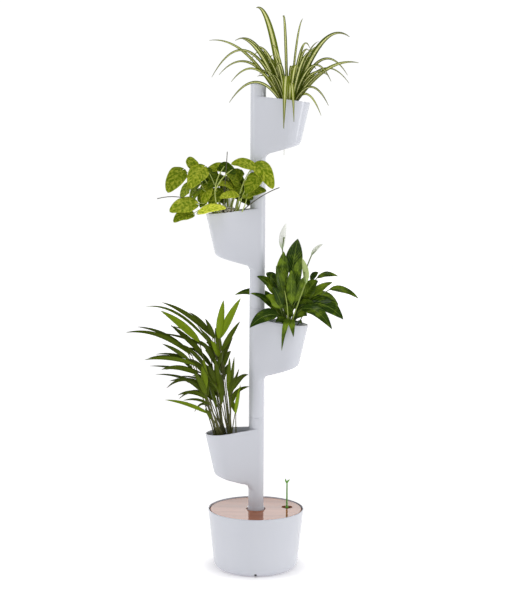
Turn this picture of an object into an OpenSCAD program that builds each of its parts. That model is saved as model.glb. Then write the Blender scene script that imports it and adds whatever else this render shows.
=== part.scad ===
// Self-watering vertical planter: a round water tank with a wooden lid carries a mast of four modules.
// Each module is one moulding, a length of mast with a pot on its side, and turns on the one below it.
// The origin is on the floor, on the mast's axis. +X is to the right of the front and -Y is the front.

/* [Mast] */
// Outside diameter of the mast
mast_d = 48; // [44:0.5:54]
// Wall of the mast tube
mast_wall = 3; // [2:0.5:4]
// Height from one rim to the next
module_pitch = 345; // [320:5:400]
// Height of the mast's end above the rim, on the axis
mast_above_rim = 35; // [30:1:50]
// Length of the spigot under each module
spigot_len = 40; // [30:1:50]
// Wall of the spigot
spigot_wall = 3; // [2.8:0.2:4]
// Gap on each side between pieces that slide or turn in each other
clearance = 0.3; // [0.2:0.05:0.5]
// Thickness of the sealing ring on a spigot
seal_d = 1.8; // [1.5:0.1:2.2]
// Thickness of the cap on the mast's top
cap_t = 4; // [3:0.5:8]

/* [Pot] */
// Distance of the rim's outer end from the axis
pot_reach = 160; // [150:1:180]
// Width of the pot at its rim
pot_w = 117; // [112:1:130]
// Height of the pot's outer end
pot_depth = 129; // [125:1:150]
// Wall of the pot
pot_wall = 3.2; // [2.5:0.1:4]
// Slope of the rim in degrees, down towards the outer end
rim_slope = 6.7; // [4:0.1:8]
// Draft of the outer end in degrees
end_draft = 12.8; // [11:0.1:14]
// Draft of the pot's sides in degrees
side_draft = 7.1; // [5:0.1:8]
// Slope of the pot's floor in degrees, down towards the mast
floor_slope = 16.2; // [12:0.1:18]
// Radius of the blend from the pot's underside into the mast
blend_r = 21; // [15:1:26]
// Radius of the lower outer corner
pot_corner_r = 12; // [6:1:18]
// Diameter of the drain hole from the pot into the mast
drain_d = 12; // [8:0.5:14]
// Diameter of the feed hole from the mast into the pot
feed_d = 10; // [9:0.5:12]
// Thickness of the ribs that the liner stands on
rib_t = 3; // [2:0.5:4]

/* [Liner] */
// Distance of the liner's centre from the rim's outer end
liner_setback = 68; // [65:0.5:70]
// Diameter of the liner at its lip
liner_d = 98; // [90:1:100]
// Diameter of the liner at its foot
liner_foot_d = 66; // [60:1:68]
// Height of the liner
liner_h = 116; // [100:1:118]
// Wall of the liner
liner_wall = 1.6; // [1.2:0.2:2.4]
// Width of the liner's rolled lip
lip_w = 3; // [2:0.5:4]
// Depth of the soil below the lip
soil_below_lip = 6; // [4:1:15]
// Diameter of the liner's drain holes
liner_hole_d = 8; // [5:0.5:10]

/* [Tank] */
// Diameter of the tank at its rim
tank_d = 300; // [290:1:330]
// Height of the tank
tank_h = 187; // [180:1:210]
// Wall of the tank
tank_wall = 3; // [2.5:0.5:4]
// Draft of the tank's wall in degrees
tank_draft = 6; // [4:0.5:7]
// Radius of the tank's lower edge
tank_corner_r = 27; // [22:1:32]
// Height of the foot ring below the floor
foot_h = 6; // [5:0.5:8]
// Width of the foot ring
foot_w = 9; // [6:0.5:12]
// Thickness of the tank's floor
floor_t = 4; // [3:0.5:6]
// Width of the lead's notch in the foot ring
notch_w = 7; // [5:0.5:9]
// Thickness of the lid
lid_t = 16; // [12:1:20]
// Depth of the lid's top below the rim
lid_recess = 2.5; // [1:0.5:5]
// Gap between the lid and the tank
lid_gap = 1.2; // [0.6:0.1:2]
// Diameter of the lid's middle hole
lid_hole_d = 59; // [57:0.5:64]

/* [Socket] */
// Depth of the mast's seat below the lid's top
seat_depth = 52.5; // [45:0.5:60]
// Height of the socket's collar above the lid
collar_h = 7; // [4:0.5:12]
// Wall of the socket
socket_wall = 2.4; // [2:0.2:3]
// Diameter of the socket's flange
flange_d = 124; // [118:1:140]
// Thickness of the flange
flange_t = 5; // [4:0.5:7]
// Height of the bosses under the flange
boss_h = 8; // [6:0.5:10]
// Diameter of the flange screws
screw_d = 4; // [3:0.5:5]

/* [Pump] */
// Diameter of the pump
pump_d = 46; // [42:1:50]
// Height of the pump above its strainer
pump_h = 40; // [36:1:44]
// Height of the suction feet
foot_cup_h = 7; // [5:0.5:9]
// Diameter of the impeller
rotor_d = 30; // [26:1:32]
// Outside diameter of the riser tube
riser_d = 12; // [10:0.5:14]
// Wall of the riser tube
riser_wall = 2; // [1.5:0.25:2.5]

/* [Level indicator] */
// Distance of the filling hole from the tank's rim, to the right
fill_inset = 52; // [48:1:60]
// Distance of the filling hole from the axis, to the back
fill_y = 20; // [10:1:30]
// Diameter of the filling hole
fill_d = 35; // [32:1:38]
// Height of the pad under the float
pad_h = 4; // [4:0.5:8]
// Gap between the float and its tube
float_gap = 0.7; // [0.5:0.1:0.9]
// Height of the float
float_h = 34; // [28:1:40]
// Height by which the float sinks from a full tank to an empty one
float_travel = 90; // [70:1:95]
// Diameter of the stick
stick_d = 5; // [4:0.5:6]
// Height of the sprout's fork above the lid
stick_up = 78; // [60:1:90]
// Length of the sprout's leaves
sprout_len = 15; // [10:1:20]

/* [Hidden] */
$fn = 96;

white = [0.9, 0.9, 0.93];
black = [0.13, 0.13, 0.14];
brown_wood = [0.6, 0.4, 0.3];
soil_brown = [0.16, 0.12, 0.09];
leaf_green = [0.3, 0.5, 0.12];

// Gap on each side between pieces that are pushed together, gap under pieces that only rest on others,
// and extra length of a cut past its face
push_fit = 0.1;
rest_gap = 0.01;
cut = 1;

// Mast
mast_r = mast_d / 2;
bore_r = mast_r - mast_wall;
spigot_r = bore_r - clearance;
spigot_bore_r = spigot_r - spigot_wall;
module_count = 4;
shoulder_t = 6;
mast_low = mast_above_rim - module_pitch;
groove_z = mast_low - spigot_len / 2;
groove_w = seal_d + 2 * push_fit;
// The feed hole sits just under the spigot of the module above
feed_gap = 4;
feed_z = mast_above_rim - spigot_len - feed_d / 2 - feed_gap;

// Heights in the tank
lid_top = tank_h - lid_recess;
lid_low = lid_top - lid_t;
floor_top = foot_h + floor_t;
seat_z = lid_top - seat_depth;
top_rim_z = rim_z(1);
function rim_z(n) = seat_z + (module_count - n) * module_pitch - mast_low;
// Odd pots, counted from the top, reach to the right and even ones to the left
function side(n) = n % 2 == 1 ? 1 : -1;

// Pot outline, in a frame with its origin on the axis at the rim and +X towards the outer end
rim_fall = tan(rim_slope);
end_taper = tan(end_draft);
side_taper = tan(side_draft);
floor_rise = tan(floor_slope);
rim_end_z = -pot_reach * rim_fall;
mouth_z = -(pot_reach - pot_w / 2) * rim_fall;
corner_x = pot_reach - pot_depth * end_taper;
corner_z = rim_end_z - pot_depth;
above_rim = 8;
function end_x(z) = pot_reach + (z - rim_end_z) * end_taper;
function pot_r(z) = pot_w / 2 + (z - mouth_z) * side_taper;
function under_z(x) = corner_z + (x - corner_x) * floor_rise;
blend_x = mast_r + blend_r;
blend_z = under_z(blend_x) - blend_r / cos(floor_slope);
pot_low = blend_z - 1;
floor_wall = pot_wall / cos(floor_slope);
// The drain hole sits just above the floor, where the floor meets the mast
drain_lift = 2;
drain_z = under_z(mast_r) + floor_wall + drain_d / 2 + drain_lift;

// Liner and soil, which is heaped to a low cone
liner_x = pot_reach - liner_setback;
liner_foot_r = liner_foot_d / 2;
liner_neck_r = liner_d / 2 - lip_w;
seat_x = liner_x + liner_foot_r;
liner_z = under_z(seat_x) + floor_wall + rib_t;
lip_z = liner_z + liner_h;
soil_z = lip_z - soil_below_lip;
function liner_r(z) = liner_foot_r + (liner_neck_r - liner_foot_r) * (z - liner_z) / liner_h;
soil_heap = 4;
soil_slack = liner_wall + 0.4;
soil_low = liner_z + soil_slack;
soil_edge_r = liner_r(soil_z - soil_heap) - soil_slack;

// Tank outline
tank_r = tank_d / 2;
tank_taper = tan(tank_draft);
function tank_x(z) = tank_r - (tank_h - z) * tank_taper;
function tank_in_x(z) = tank_x(z) - tank_wall / cos(tank_draft);
tank_arc_x = tank_x(tank_corner_r) - tank_corner_r / cos(tank_draft);
foot_in_r = tank_arc_x - foot_w;
inner_arc_z = tank_corner_r + tank_wall;
lid_r = tank_in_x(lid_low) - lid_gap;
rib_count = 8;
rib_reach = 8;

// Socket
sleeve_r = mast_r + clearance;
collar_r = sleeve_r + socket_wall;
flange_z = floor_top + boss_h;
flange_r = flange_d / 2;
cone_foot_r = flange_r - 4 * screw_d;
cone_top_z = seat_z - spigot_len - 2;
screw_ring_r = flange_r - 2 * screw_d;
screw_head_h = 3;
screw_bite = boss_h - 2;
// The lead leaves the tank through a gland in front of the flange, and the foot ring through its notch
lead_d = 3;
notch_y = tank_arc_x + tank_corner_r;
gland_d = notch_w + 1;
gland_y = flange_r + gland_d + 2;

// Pump, standing on its feet under the socket's cone
strainer_z = floor_top + foot_cup_h;
strainer_t = 4;
pump_z = strainer_z + strainer_t;
pump_r = pump_d / 2;
chamber_h = 14;
chamber_r = rotor_d / 2 + 2;
rotor_shaft_r = 2;
nozzle_r = riser_d / 2 - riser_wall - push_fit / 2;
nozzle_wall = 1.2;
nozzle_h = 16;
riser_z = pump_z + pump_h;
riser_top = top_rim_z + mast_above_rim - 18;

// Level indicator
fill_x = tank_r - fill_inset;
guide_r = fill_d / 2 - 1;
guide_wall = 1.5;
guide_z = floor_top + pad_h;
float_r = guide_r - guide_wall - float_gap;
// The float stands as high as in a full tank
float_z = guide_z + float_travel;
fork_z = lid_top + stick_up;
bead_r = 5.5;

// Points of an arc about a centre, from one angle to another
function arc(centre, r, from, to, steps) =
    [for (i = [0:steps]) let (a = from + (to - from) * i / steps) centre + r * [cos(a), sin(a)]];
function unit(v) = v / norm(v);

// A leaf blade as one swept solid with a lens-like section, from a to b, with its middle lifted by rise.
// Its face looks up and towards the front, or straight up where the blade points forwards or backwards.
// fullness moves its widest place towards the tip.
leaf_face = [0, -0.77, 0.64];
function leaf_at(a, b, rise, t) = a + (b - a) * t + [0, 0, 4 * rise * t * (1 - t)];
function leaf_dir(a, b, rise, t) = unit(b - a + [0, 0, 4 * rise * (1 - 2 * t)]);
function leaf_across(a, b, dir) =
    abs(b[0] - a[0]) < abs(b[1] - a[1]) ? unit([a[1] - b[1], b[0] - a[0], 0]) : unit(cross(dir, leaf_face));
function leaf_half(w, t, fullness) = w / 2 * max(0.12, pow(sin(180 * pow(t, fullness)), 0.8));
function leaf_ring(a, b, rise, w, thick, t, fullness) =
    let (dir = leaf_dir(a, b, rise, t))
    let (across = leaf_across(a, b, dir) * leaf_half(w, t, fullness))
    let (lift = unit(cross(across, dir)) * thick / 2)
    let (p = leaf_at(a, b, rise, t))
    [p - across, p - lift, p + across, p + lift];

module blade(a, b, rise, w, thick = 2, fullness = 0.8, steps = 5) {
    rings = [for (i = [0:steps - 1]) leaf_ring(a, b, rise, w, thick, i / steps, fullness)];
    points = concat([for (ring = rings) each ring], [b]);
    last = 4 * (steps - 1);
    sides = [for (i = [0:steps - 2], j = [0:3])
        each [[4 * i + j, 4 * i + (j + 1) % 4, 4 * i + 4 + j],
              [4 * i + (j + 1) % 4, 4 * i + 4 + (j + 1) % 4, 4 * i + 4 + j]]];
    tip = [for (j = [0:3]) [last + j, last + (j + 1) % 4, 4 * steps]];
    polyhedron(points, concat([[0, 2, 1], [0, 3, 2]], sides, tip));
}

// A round stalk between two points
module stalk(a, b, d) {
    hull() {
        translate(a) sphere(d = d, $fn = 4);
        translate(b) sphere(d = d, $fn = 4);
    }
}

// Outer form of the pot between two heights: a leaning cup that runs tangent into the mast
module pot_loft(inset) {
    slice = 1;
    hull() {
        for (z = [pot_low, above_rim])
            translate([end_x(z) - pot_r(z), 0, z - slice / 2])
                cylinder(r = pot_r(z) - inset, h = slice, $fn = 48);
        translate([0, 0, pot_low - slice / 2])
            cylinder(r = mast_r - inset, h = above_rim - pot_low + slice, $fn = 48);
    }
}

// Side view of the pot between its sloping rim and underside, with the lower outer corner rounded
module pot_side(inset, top) {
    far = pot_reach + 30;
    shift = (end_taper / cos(floor_slope) - 1 / cos(end_draft)) / (1 - floor_rise * end_taper);
    arc_x = corner_x + pot_corner_r * shift;
    arc_c = [arc_x, under_z(arc_x) + pot_corner_r / cos(floor_slope)];
    low = arc(arc_c, pot_corner_r - inset, floor_slope - 90, -end_draft, 6);
    rotate([90, 0, 0]) linear_extrude(height = 2 * pot_w, center = true)
        polygon(concat(
            [[0, under_z(0) + inset / cos(floor_slope)]], low,
            [[far, low[6][1]], [far, top - far * rim_fall], [0, top]]));
}

// Ring that blends the underside into the mast
module pot_blend() {
    overlap = 6;
    inner_r = bore_r + 1;
    ring_top = blend_z + blend_r * cos(floor_slope) + overlap;
    rotate_extrude() polygon(concat(
        arc([blend_x, blend_z], blend_r, 180, 90 + floor_slope, 8),
        [[blend_x - blend_r * sin(floor_slope), ring_top], [inner_r, ring_top], [inner_r, blend_z]]));
}

// Two ribs across the pot's sloping floor, level on top, that the liner stands on
module liner_ribs() {
    reach = liner_foot_r - 2 * rib_t;
    for (x = [liner_x - reach, liner_x + reach])
        translate([x - rib_t / 2, -reach, under_z(x)])
            cube([rib_t, 2 * reach, liner_z - under_z(x) - rest_gap]);
}

// One moulded module: mast tube, spigot and pot, with the pot's rim on the axis at height 0
module pot_shell() {
    color(white) difference() {
        union() {
            difference() {
                intersection() {
                    pot_loft(0);
                    union() {
                        pot_side(0, 0);
                        pot_blend();
                    }
                }
                difference() {
                    intersection() {
                        pot_loft(pot_wall);
                        pot_side(pot_wall, 2 * above_rim);
                    }
                    translate([0, 0, pot_low])
                        cylinder(r = mast_r, h = above_rim - pot_low + 2 * mast_above_rim);
                    liner_ribs();
                }
            }
            translate([0, 0, mast_low]) cylinder(r = mast_r, h = module_pitch);
            translate([0, 0, mast_low - spigot_len]) cylinder(r = spigot_r, h = spigot_len + shoulder_t);
        }
        translate([0, 0, mast_low + shoulder_t]) cylinder(r = bore_r, h = module_pitch);
        translate([0, 0, mast_low - spigot_len - cut])
            cylinder(r = spigot_bore_r, h = spigot_len + shoulder_t + 2 * cut);
        translate([0, 0, groove_z]) difference() {
            cylinder(r = mast_r, h = groove_w, center = true);
            cylinder(r = spigot_r - seal_d, h = groove_w + cut, center = true);
        }
        translate([0, 0, drain_z]) rotate([0, 90, 0]) cylinder(d = drain_d, h = mast_d);
        translate([0, 0, feed_z]) rotate([0, 90, 0]) cylinder(d = feed_d, h = mast_d);
    }
}

// Sealing ring in the spigot's groove
module spigot_seal() {
    color(black) translate([0, 0, groove_z]) rotate_extrude()
        translate([spigot_r - seal_d / 2 + clearance / 2, 0]) circle(d = seal_d - push_fit, $fn = 24);
}

// Slotted plug that keeps soil out of the mast
module drain_plug() {
    flange = 2;
    flange_w = 3;
    slot_w = drain_d / 6;
    slot_len = drain_d * 2 / 3;
    color(black) translate([0, 0, drain_z]) rotate([0, 90, 0]) difference() {
        union() {
            translate([0, 0, bore_r]) cylinder(d = drain_d - 2 * clearance, h = mast_wall + flange);
            translate([0, 0, mast_r + push_fit]) cylinder(d = drain_d + flange_w, h = flange);
        }
        for (i = [-1:1])
            translate([(2 * i - 0.5) * slot_w, -slot_len / 2, 0]) cube([slot_w, slot_len, mast_d]);
    }
}

// Round growing pot with a rolled lip and drain holes
module liner() {
    hole_ring = liner_foot_r / 2;
    color(black) translate([liner_x, 0, 0]) difference() {
        rotate_extrude() polygon([
            [0, liner_z], [liner_foot_r, liner_z], [liner_r(lip_z - lip_w), lip_z - lip_w],
            [liner_d / 2, lip_z - lip_w], [liner_d / 2, lip_z], [liner_neck_r - liner_wall, lip_z],
            [liner_foot_r - liner_wall, liner_z + liner_wall], [0, liner_z + liner_wall]]);
        for (a = [0:72:359])
            rotate(a) translate([hole_ring, 0, liner_z - cut])
                cylinder(d = liner_hole_d, h = liner_wall + 2 * cut);
    }
}

// Soil in the liner
module soil() {
    color(soil_brown) translate([liner_x, 0, 0]) rotate_extrude() polygon([
        [0, soil_low], [liner_r(soil_low) - soil_slack, soil_low],
        [soil_edge_r, soil_z - soil_heap], [0, soil_z]]);
}

// Puts what is drawn in the pot's frame on its place in the stack
module at_module(n) {
    translate([0, 0, rim_z(n)]) rotate(side(n) > 0 ? 0 : 180) children();
}

// Puts a plant on its soil, without turning it
module on_soil(n) {
    translate([side(n) * liner_x, 0, rim_z(n) + soil_z]) children();
}

// Water tank with a foot ring, a notch for the lead, ribs under the lid and bosses under the socket
module base_tank() {
    inner_c = [tank_arc_x - tank_wall, inner_arc_z];
    inner_a = tank_in_x(inner_arc_z) - inner_c[0];
    inner_b = inner_arc_z - floor_top;
    color(white) difference() {
        union() {
            rotate_extrude() polygon(concat(
                [[0, foot_h], [foot_in_r, foot_h], [foot_in_r, 0]],
                arc([tank_arc_x, tank_corner_r], tank_corner_r, -90, -tank_draft, 10),
                [[tank_r, tank_h], [tank_in_x(tank_h), tank_h]],
                [for (i = [0:8]) inner_c + [inner_a * cos(i * 11.25), -inner_b * sin(i * 11.25)]],
                [[0, floor_top]]));
            for (i = [0:rib_count - 1]) rotate((i + 0.5) * 360 / rib_count) rotate([90, 0, 0])
                linear_extrude(height = rib_t, center = true) polygon([
                    [tank_in_x(lid_low) + 1, lid_low], [tank_in_x(lid_low) - rib_reach, lid_low],
                    [tank_in_x(inner_arc_z + 10) + 0.5, inner_arc_z + 10]]);
            for (a = [45:90:359]) rotate(a) translate([screw_ring_r, 0, floor_top - 1])
                cylinder(d = 3 * screw_d, h = boss_h + 1);
            translate([fill_x, fill_y, floor_top - 1]) cylinder(r = guide_r + guide_wall, h = pad_h + 1);
        }
        for (a = [45:90:359]) rotate(a) translate([screw_ring_r, 0, flange_z - screw_bite - 1])
            cylinder(d = screw_d, h = screw_bite + 2);
        notch_space(0, -cut);
        translate([0, -gland_y, 0]) cylinder(d = gland_d, h = floor_top + cut);
    }
}

// Sealed gland for the pump's lead, through the tank's floor
module cable_gland() {
    flange = 2;
    nose_h = 5;
    wide_d = gland_d + 2 * flange;
    color(black) translate([0, -gland_y, foot_h - flange]) {
        cylinder(d = gland_d - 2 * push_fit, h = floor_t + flange + cut);
        cylinder(d = wide_d, h = flange);
        translate([0, 0, flange + floor_t]) cylinder(d1 = wide_d, d2 = gland_d - flange, h = nose_h);
    }
}

// The lead's notch: a low passage through the foot ring and a taller pocket in the tank's rounded edge
module notch_space(slack, low) {
    pocket_rise = 6;
    pocket_l = tank_corner_r / 2 - slack;
    passage_l = tank_corner_r + foot_w + cut - slack;
    for (space = [[passage_l, foot_h], [pocket_l, foot_h + pocket_rise]])
        translate([slack - notch_w / 2, -notch_y, low])
            cube([notch_w - 2 * slack, space[0], space[1] - slack - low]);
}

// Rubber bush that fills the notch, flush with the rounded edge, with a hole for the lead
module notch_bush() {
    raise = 0.5;
    color(black) difference() {
        intersection() {
            notch_space(2 * push_fit, raise);
            rotate_extrude() polygon(concat(
                [[foot_in_r, tank_corner_r], [foot_in_r, raise]],
                arc([tank_arc_x, tank_corner_r], tank_corner_r - raise, -90, 0, 10)));
        }
        translate([0, cut - foot_in_r, foot_h / 2]) rotate([90, 0, 0])
            cylinder(d = lead_d, h = notch_y, $fn = 24);
    }
}

// Wooden lid with the mast's hole and the filling hole
module lid() {
    edge = 1.5;
    color(brown_wood) difference() {
        rotate_extrude() polygon([
            [lid_hole_d / 2, lid_low], [lid_r, lid_low], [lid_r, lid_top - edge],
            [lid_r - edge, lid_top], [lid_hole_d / 2 + edge, lid_top], [lid_hole_d / 2, lid_top - edge]]);
        translate([fill_x, fill_y, lid_low - 1]) cylinder(d = fill_d, h = lid_t + 2);
    }
}

// Socket that carries the mast: flange, cone with windows, bore for the spigot and sleeve for the mast
module mast_socket() {
    window_d = 24;
    window_drop = 6;
    flange_top = flange_z + flange_t;
    window_z = (flange_top + cone_top_z) / 2 - window_drop;
    cone_in_r = cone_foot_r - socket_wall - 2;
    cone_in_top = cone_top_z - 4;
    color(white) difference() {
        rotate_extrude() polygon([
            [cone_in_r, flange_z], [flange_r, flange_z], [flange_r, flange_top], [cone_foot_r, flange_top],
            [collar_r, cone_top_z], [collar_r, lid_top + collar_h], [sleeve_r, lid_top + collar_h],
            [sleeve_r, seat_z], [bore_r, seat_z], [bore_r, cone_in_top], [cone_in_r, flange_top]]);
        for (a = [0:90:359])
            rotate(a) translate([0, 0, window_z]) rotate([0, 90, 0]) cylinder(d = window_d, h = flange_r);
        for (a = [45:90:359]) rotate(a) translate([screw_ring_r, 0, flange_z - 1])
            cylinder(d = screw_d + 2 * clearance, h = flange_t + 2);
    }
}

// Screws that hold the socket's flange to the tank's bosses
module socket_screws() {
    color("silver") for (a = [45:90:359]) rotate(a) translate([screw_ring_r, 0, flange_z + flange_t]) {
        cylinder(d = 2 * screw_d, h = screw_head_h);
        translate([0, 0, -flange_t - screw_bite])
            cylinder(d = screw_d - push_fit, h = flange_t + screw_bite + cut);
    }
}

// Pump housing with its chamber open downwards and its outlet on top
module pump_body() {
    fins = 12;
    fin_t = 2;
    step = 2;
    shoulder = 6;
    duct_r = 2;
    duct_x = chamber_r - 5;
    bearing_h = 9;
    color(black) translate([0, 0, pump_z]) difference() {
        union() {
            cylinder(r = pump_r, h = chamber_h + step);
            cylinder(r = pump_r - step, h = pump_h - step);
            for (a = [0:360 / fins:359])
                rotate(a) translate([0, -fin_t / 2, 0]) cube([pump_r, fin_t, pump_h - shoulder]);
            cylinder(r = pump_r - shoulder, h = pump_h);
            cylinder(r = nozzle_r, h = pump_h + nozzle_h);
        }
        translate([0, 0, -cut]) cylinder(r = chamber_r, h = chamber_h + cut);
        translate([0, 0, chamber_h - cut]) cylinder(r = rotor_shaft_r + push_fit / 2, h = bearing_h);
        translate([0, 0, pump_h - shoulder])
            cylinder(r = nozzle_r - nozzle_wall, h = nozzle_h + shoulder + cut);
        translate([duct_x, 0, chamber_h - cut]) cylinder(r = duct_r, h = pump_h - chamber_h - step);
        translate([0, 0, pump_h - shoulder + cut]) rotate([0, 90, 0])
            cylinder(r = duct_r, h = duct_x + duct_r / 2);
    }
}

// Impeller with curved-back blades on its shaft
module pump_rotor() {
    blades = 6;
    blade_t = 1.6;
    sweep_back = 30;
    disc_t = 2;
    lift = 3;
    hub_r = 5;
    blade_len = (rotor_d / 2 - hub_r) * 0.95;
    color("silver") translate([0, 0, pump_z + lift]) {
        cylinder(r = rotor_d / 2, h = disc_t);
        cylinder(r = hub_r, h = chamber_h - lift - 2);
        cylinder(r = rotor_shaft_r, h = chamber_h + lift);
        for (a = [0:360 / blades:359])
            rotate(a) translate([hub_r - 1, 0, 0]) rotate(-sweep_back)
                translate([0, -blade_t / 2, 0]) cube([blade_len, blade_t, chamber_h - 2 * lift]);
    }
}

// Slotted inlet cover under the pump
module pump_strainer() {
    slots = 16;
    slot_w = 1.6;
    slot_from = 6.5;
    slot_to = pump_r - 4;
    color(black) translate([0, 0, strainer_z]) difference() {
        cylinder(r = pump_r, h = strainer_t);
        for (a = [0:360 / slots:359])
            rotate(a) translate([slot_from, -slot_w / 2, -cut])
                cube([slot_to - slot_from, slot_w, strainer_t + 2 * cut]);
    }
}

// Suction feet under the strainer
module pump_feet() {
    stem_r = 2.5;
    cup_r = 6;
    cup_h = 3;
    lip = 1.5;
    color([0.25, 0.25, 0.27]) for (a = [0:90:359]) rotate(a) translate([pump_r - cup_r, 0, floor_top])
        rotate_extrude() polygon([
            [0, foot_cup_h], [stem_r, foot_cup_h], [stem_r, cup_h],
            [cup_r, 0], [cup_r - lip, 0], [0, cup_h - 1]]);
}

// Tube that takes the water up the middle of the mast
module riser_tube() {
    color([0.8, 0.85, 0.88]) translate([0, 0, riser_z]) difference() {
        cylinder(d = riser_d, h = riser_top - riser_z);
        translate([0, 0, -1]) cylinder(d = riser_d - 2 * riser_wall, h = riser_top - riser_z + 2);
    }
}

// Elbow on the riser's end that pours through the feed hole into the top pot
module top_spout() {
    arm_r = feed_d / 2 - 1;
    arm_end = mast_r + 6;
    wall = 1.5;
    neck_r = riser_d / 2 + clearance;
    neck_low = feed_z - arm_r - wall;
    neck_top = riser_top - top_rim_z + clearance;
    color(black) translate([0, 0, top_rim_z]) difference() {
        union() {
            translate([0, 0, neck_low]) cylinder(r = neck_r + wall, h = neck_top + wall - neck_low);
            translate([0, 0, feed_z]) rotate([0, 90, 0]) cylinder(r = arm_r, h = arm_end);
        }
        translate([0, 0, neck_low - 1]) cylinder(r = neck_r, h = neck_top - neck_low + 1);
        translate([0, 0, feed_z]) rotate([0, 90, 0]) cylinder(r = arm_r - wall, h = arm_end + 1);
    }
}

// Cap in the mast's top end
module mast_cap() {
    edge = 1.5;
    plug_h = 12;
    web_t = 2;
    color(white) translate([0, 0, top_rim_z + mast_above_rim]) rotate_extrude() polygon([
        [0, -web_t], [spigot_bore_r, -web_t], [spigot_bore_r, -plug_h], [spigot_r, -plug_h], [spigot_r, 0],
        [mast_r, 0], [mast_r, cap_t - edge], [mast_r - edge, cap_t], [0, cap_t]]);
}

// Slotted tube in which the float rises and sinks, under the filling hole
module float_guide() {
    slots = 4;
    slot_w = 8;
    slot_low = 8;
    slot_end = 22;
    gap = 1;
    guide_h = lid_low - guide_z - gap;
    color(black) translate([fill_x, fill_y, guide_z]) difference() {
        cylinder(r = guide_r, h = guide_h);
        translate([0, 0, -cut]) cylinder(r = guide_r - guide_wall, h = tank_h);
        for (a = [45:360 / slots:404])
            rotate(a) translate([0, -slot_w / 2, slot_low])
                cube([guide_r + cut, slot_w, guide_h - slot_low - slot_end + gap]);
    }
}

// Float with bevelled edges
module float_body() {
    edge = 3;
    color([0.9, 0.9, 0.88]) translate([fill_x, fill_y, float_z]) rotate_extrude() polygon([
        [0, 0], [float_r - edge, 0], [float_r, edge], [float_r, float_h - edge],
        [float_r - edge, float_h], [0, float_h]]);
}

// Stick on the float with a guide bead at the lid and a two-leaved sprout on top
module level_stick() {
    r = stick_d / 2;
    stick_low = float_z + float_h;
    bead_low = lid_top - 3;
    bead_top = lid_top + 2;
    bead_slope = 4;
    leaf_w = 5;
    root = [0, 0, fork_z - leaf_w / 2];
    left_tip = [-sprout_len * 0.25, 0, fork_z + sprout_len];
    right_tip = [sprout_len * 0.75, 0, fork_z + sprout_len * 0.7];
    color([0.35, 0.75, 0.1]) translate([fill_x, fill_y, 0]) {
        rotate_extrude() polygon([
            [0, stick_low], [r, stick_low], [r, bead_low - bead_slope], [bead_r, bead_low],
            [bead_r, bead_top], [r, bead_top + bead_slope], [r * 0.8, fork_z], [0, fork_z]]);
        for (tip = [left_tip, right_tip]) blade(root, tip, 2, leaf_w, leaf_w / 2, 0.9, 4);
    }
}

// Depth to which roots and crowns go into the soil, and thickness of a blade in its middle
root_depth = 3;
leaf_t = 2.4;

// Spider plant: each row is a leaf's tip on three axes, the lift of its middle, and its width
spider_leaves = [
    [-100, 20, 305, 85, 19], [-17, 60, 280, 90, 9], [45, 50, 275, 60, 9], [185, -30, 215, 85, 19],
    [-245, 35, 205, 60, 11], [-150, -20, 210, 50, 15], [-165, 40, 205, 75, 15], [-235, -25, 90, 125, 10],
    [-215, 60, 100, 85, 9], [-175, -55, 75, 75, 10], [-180, -85, 12, 70, 12], [-15, -105, -65, 160, 16],
    [20, -100, -45, 120, 12], [212, -60, 135, 45, 16], [128, -75, 78, 85, 13], [185, 40, 100, 95, 8],
    [192, 75, 76, 80, 8], [64, -40, 180, 80, 11], [66, 30, 172, 65, 11], [122, -55, 5, 60, 9],
    [105, 70, -25, 55, 8], [84, -30, 60, 25, 7], [95, 60, 205, 45, 8], [30, -60, 110, 60, 15],
    [-40, -70, 105, 70, 14], [-10, 90, -150, 190, 8], [60, 110, 90, 90, 12], [-70, 110, 110, 100, 12],
    [-120, 90, 140, 90, 12], [20, 130, 40, 110, 12]
];
module spider_plant() {
    crown = 12;
    color(leaf_green) on_soil(1) union() {
        for (leaf = spider_leaves) {
            tip = [leaf[0], leaf[1], leaf[2]];
            root = unit([tip[0], tip[1], 0]) * crown - [0, 0, root_depth];
            blade(root, tip, leaf[3], leaf[4], leaf_t, 0.75);
        }
        for (a = [0:45:359])
            stalk([0, 0, -root_depth + 1], [crown * cos(a), crown * sin(a), crown - 2], crown);
    }
}

// Pothos: each row is where a leaf meets its stalk, its tip, the lift of its middle, and its width
pothos_leaves = [
    [[-107, -20, 154], [-127, -38, 190], 3, 40], [[-140, -25, 150], [-183, -60, 82], 8, 56],
    [[-78, -35, 158], [-116, -70, 96], 8, 52], [[-142, -55, 62], [-164, -80, 4], 6, 66],
    [[-108, -50, 16], [-164, -75, -8], 10, 40], [[-84, -68, 24], [-4, -84, 36], 8, 32],
    [[78, -62, 160], [10, -50, 168], 10, 34], [[92, -70, 126], [52, -84, 80], 6, 50],
    [[86, -55, 170], [132, -75, 96], 14, 48], [[2, 0, 148], [28, -35, 100], 6, 44],
    [[18, -15, 98], [-26, -50, 106], 6, 38], [[-62, 0, 108], [-72, -45, 42], 8, 44],
    [[54, -45, 74], [118, -62, 88], 8, 44], [[28, -40, 76], [-24, -66, 66], 6, 30],
    [[-4, 10, 154], [-74, 10, 138], 12, 34], [[-85, -25, 94], [-104, -60, 60], 5, 32],
    [[-40, 60, 110], [-80, 95, 70], 10, 46], [[30, 55, 100], [60, 95, 60], 10, 46],
    [[-110, 40, 100], [-150, 60, 60], 10, 48]
];
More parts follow.
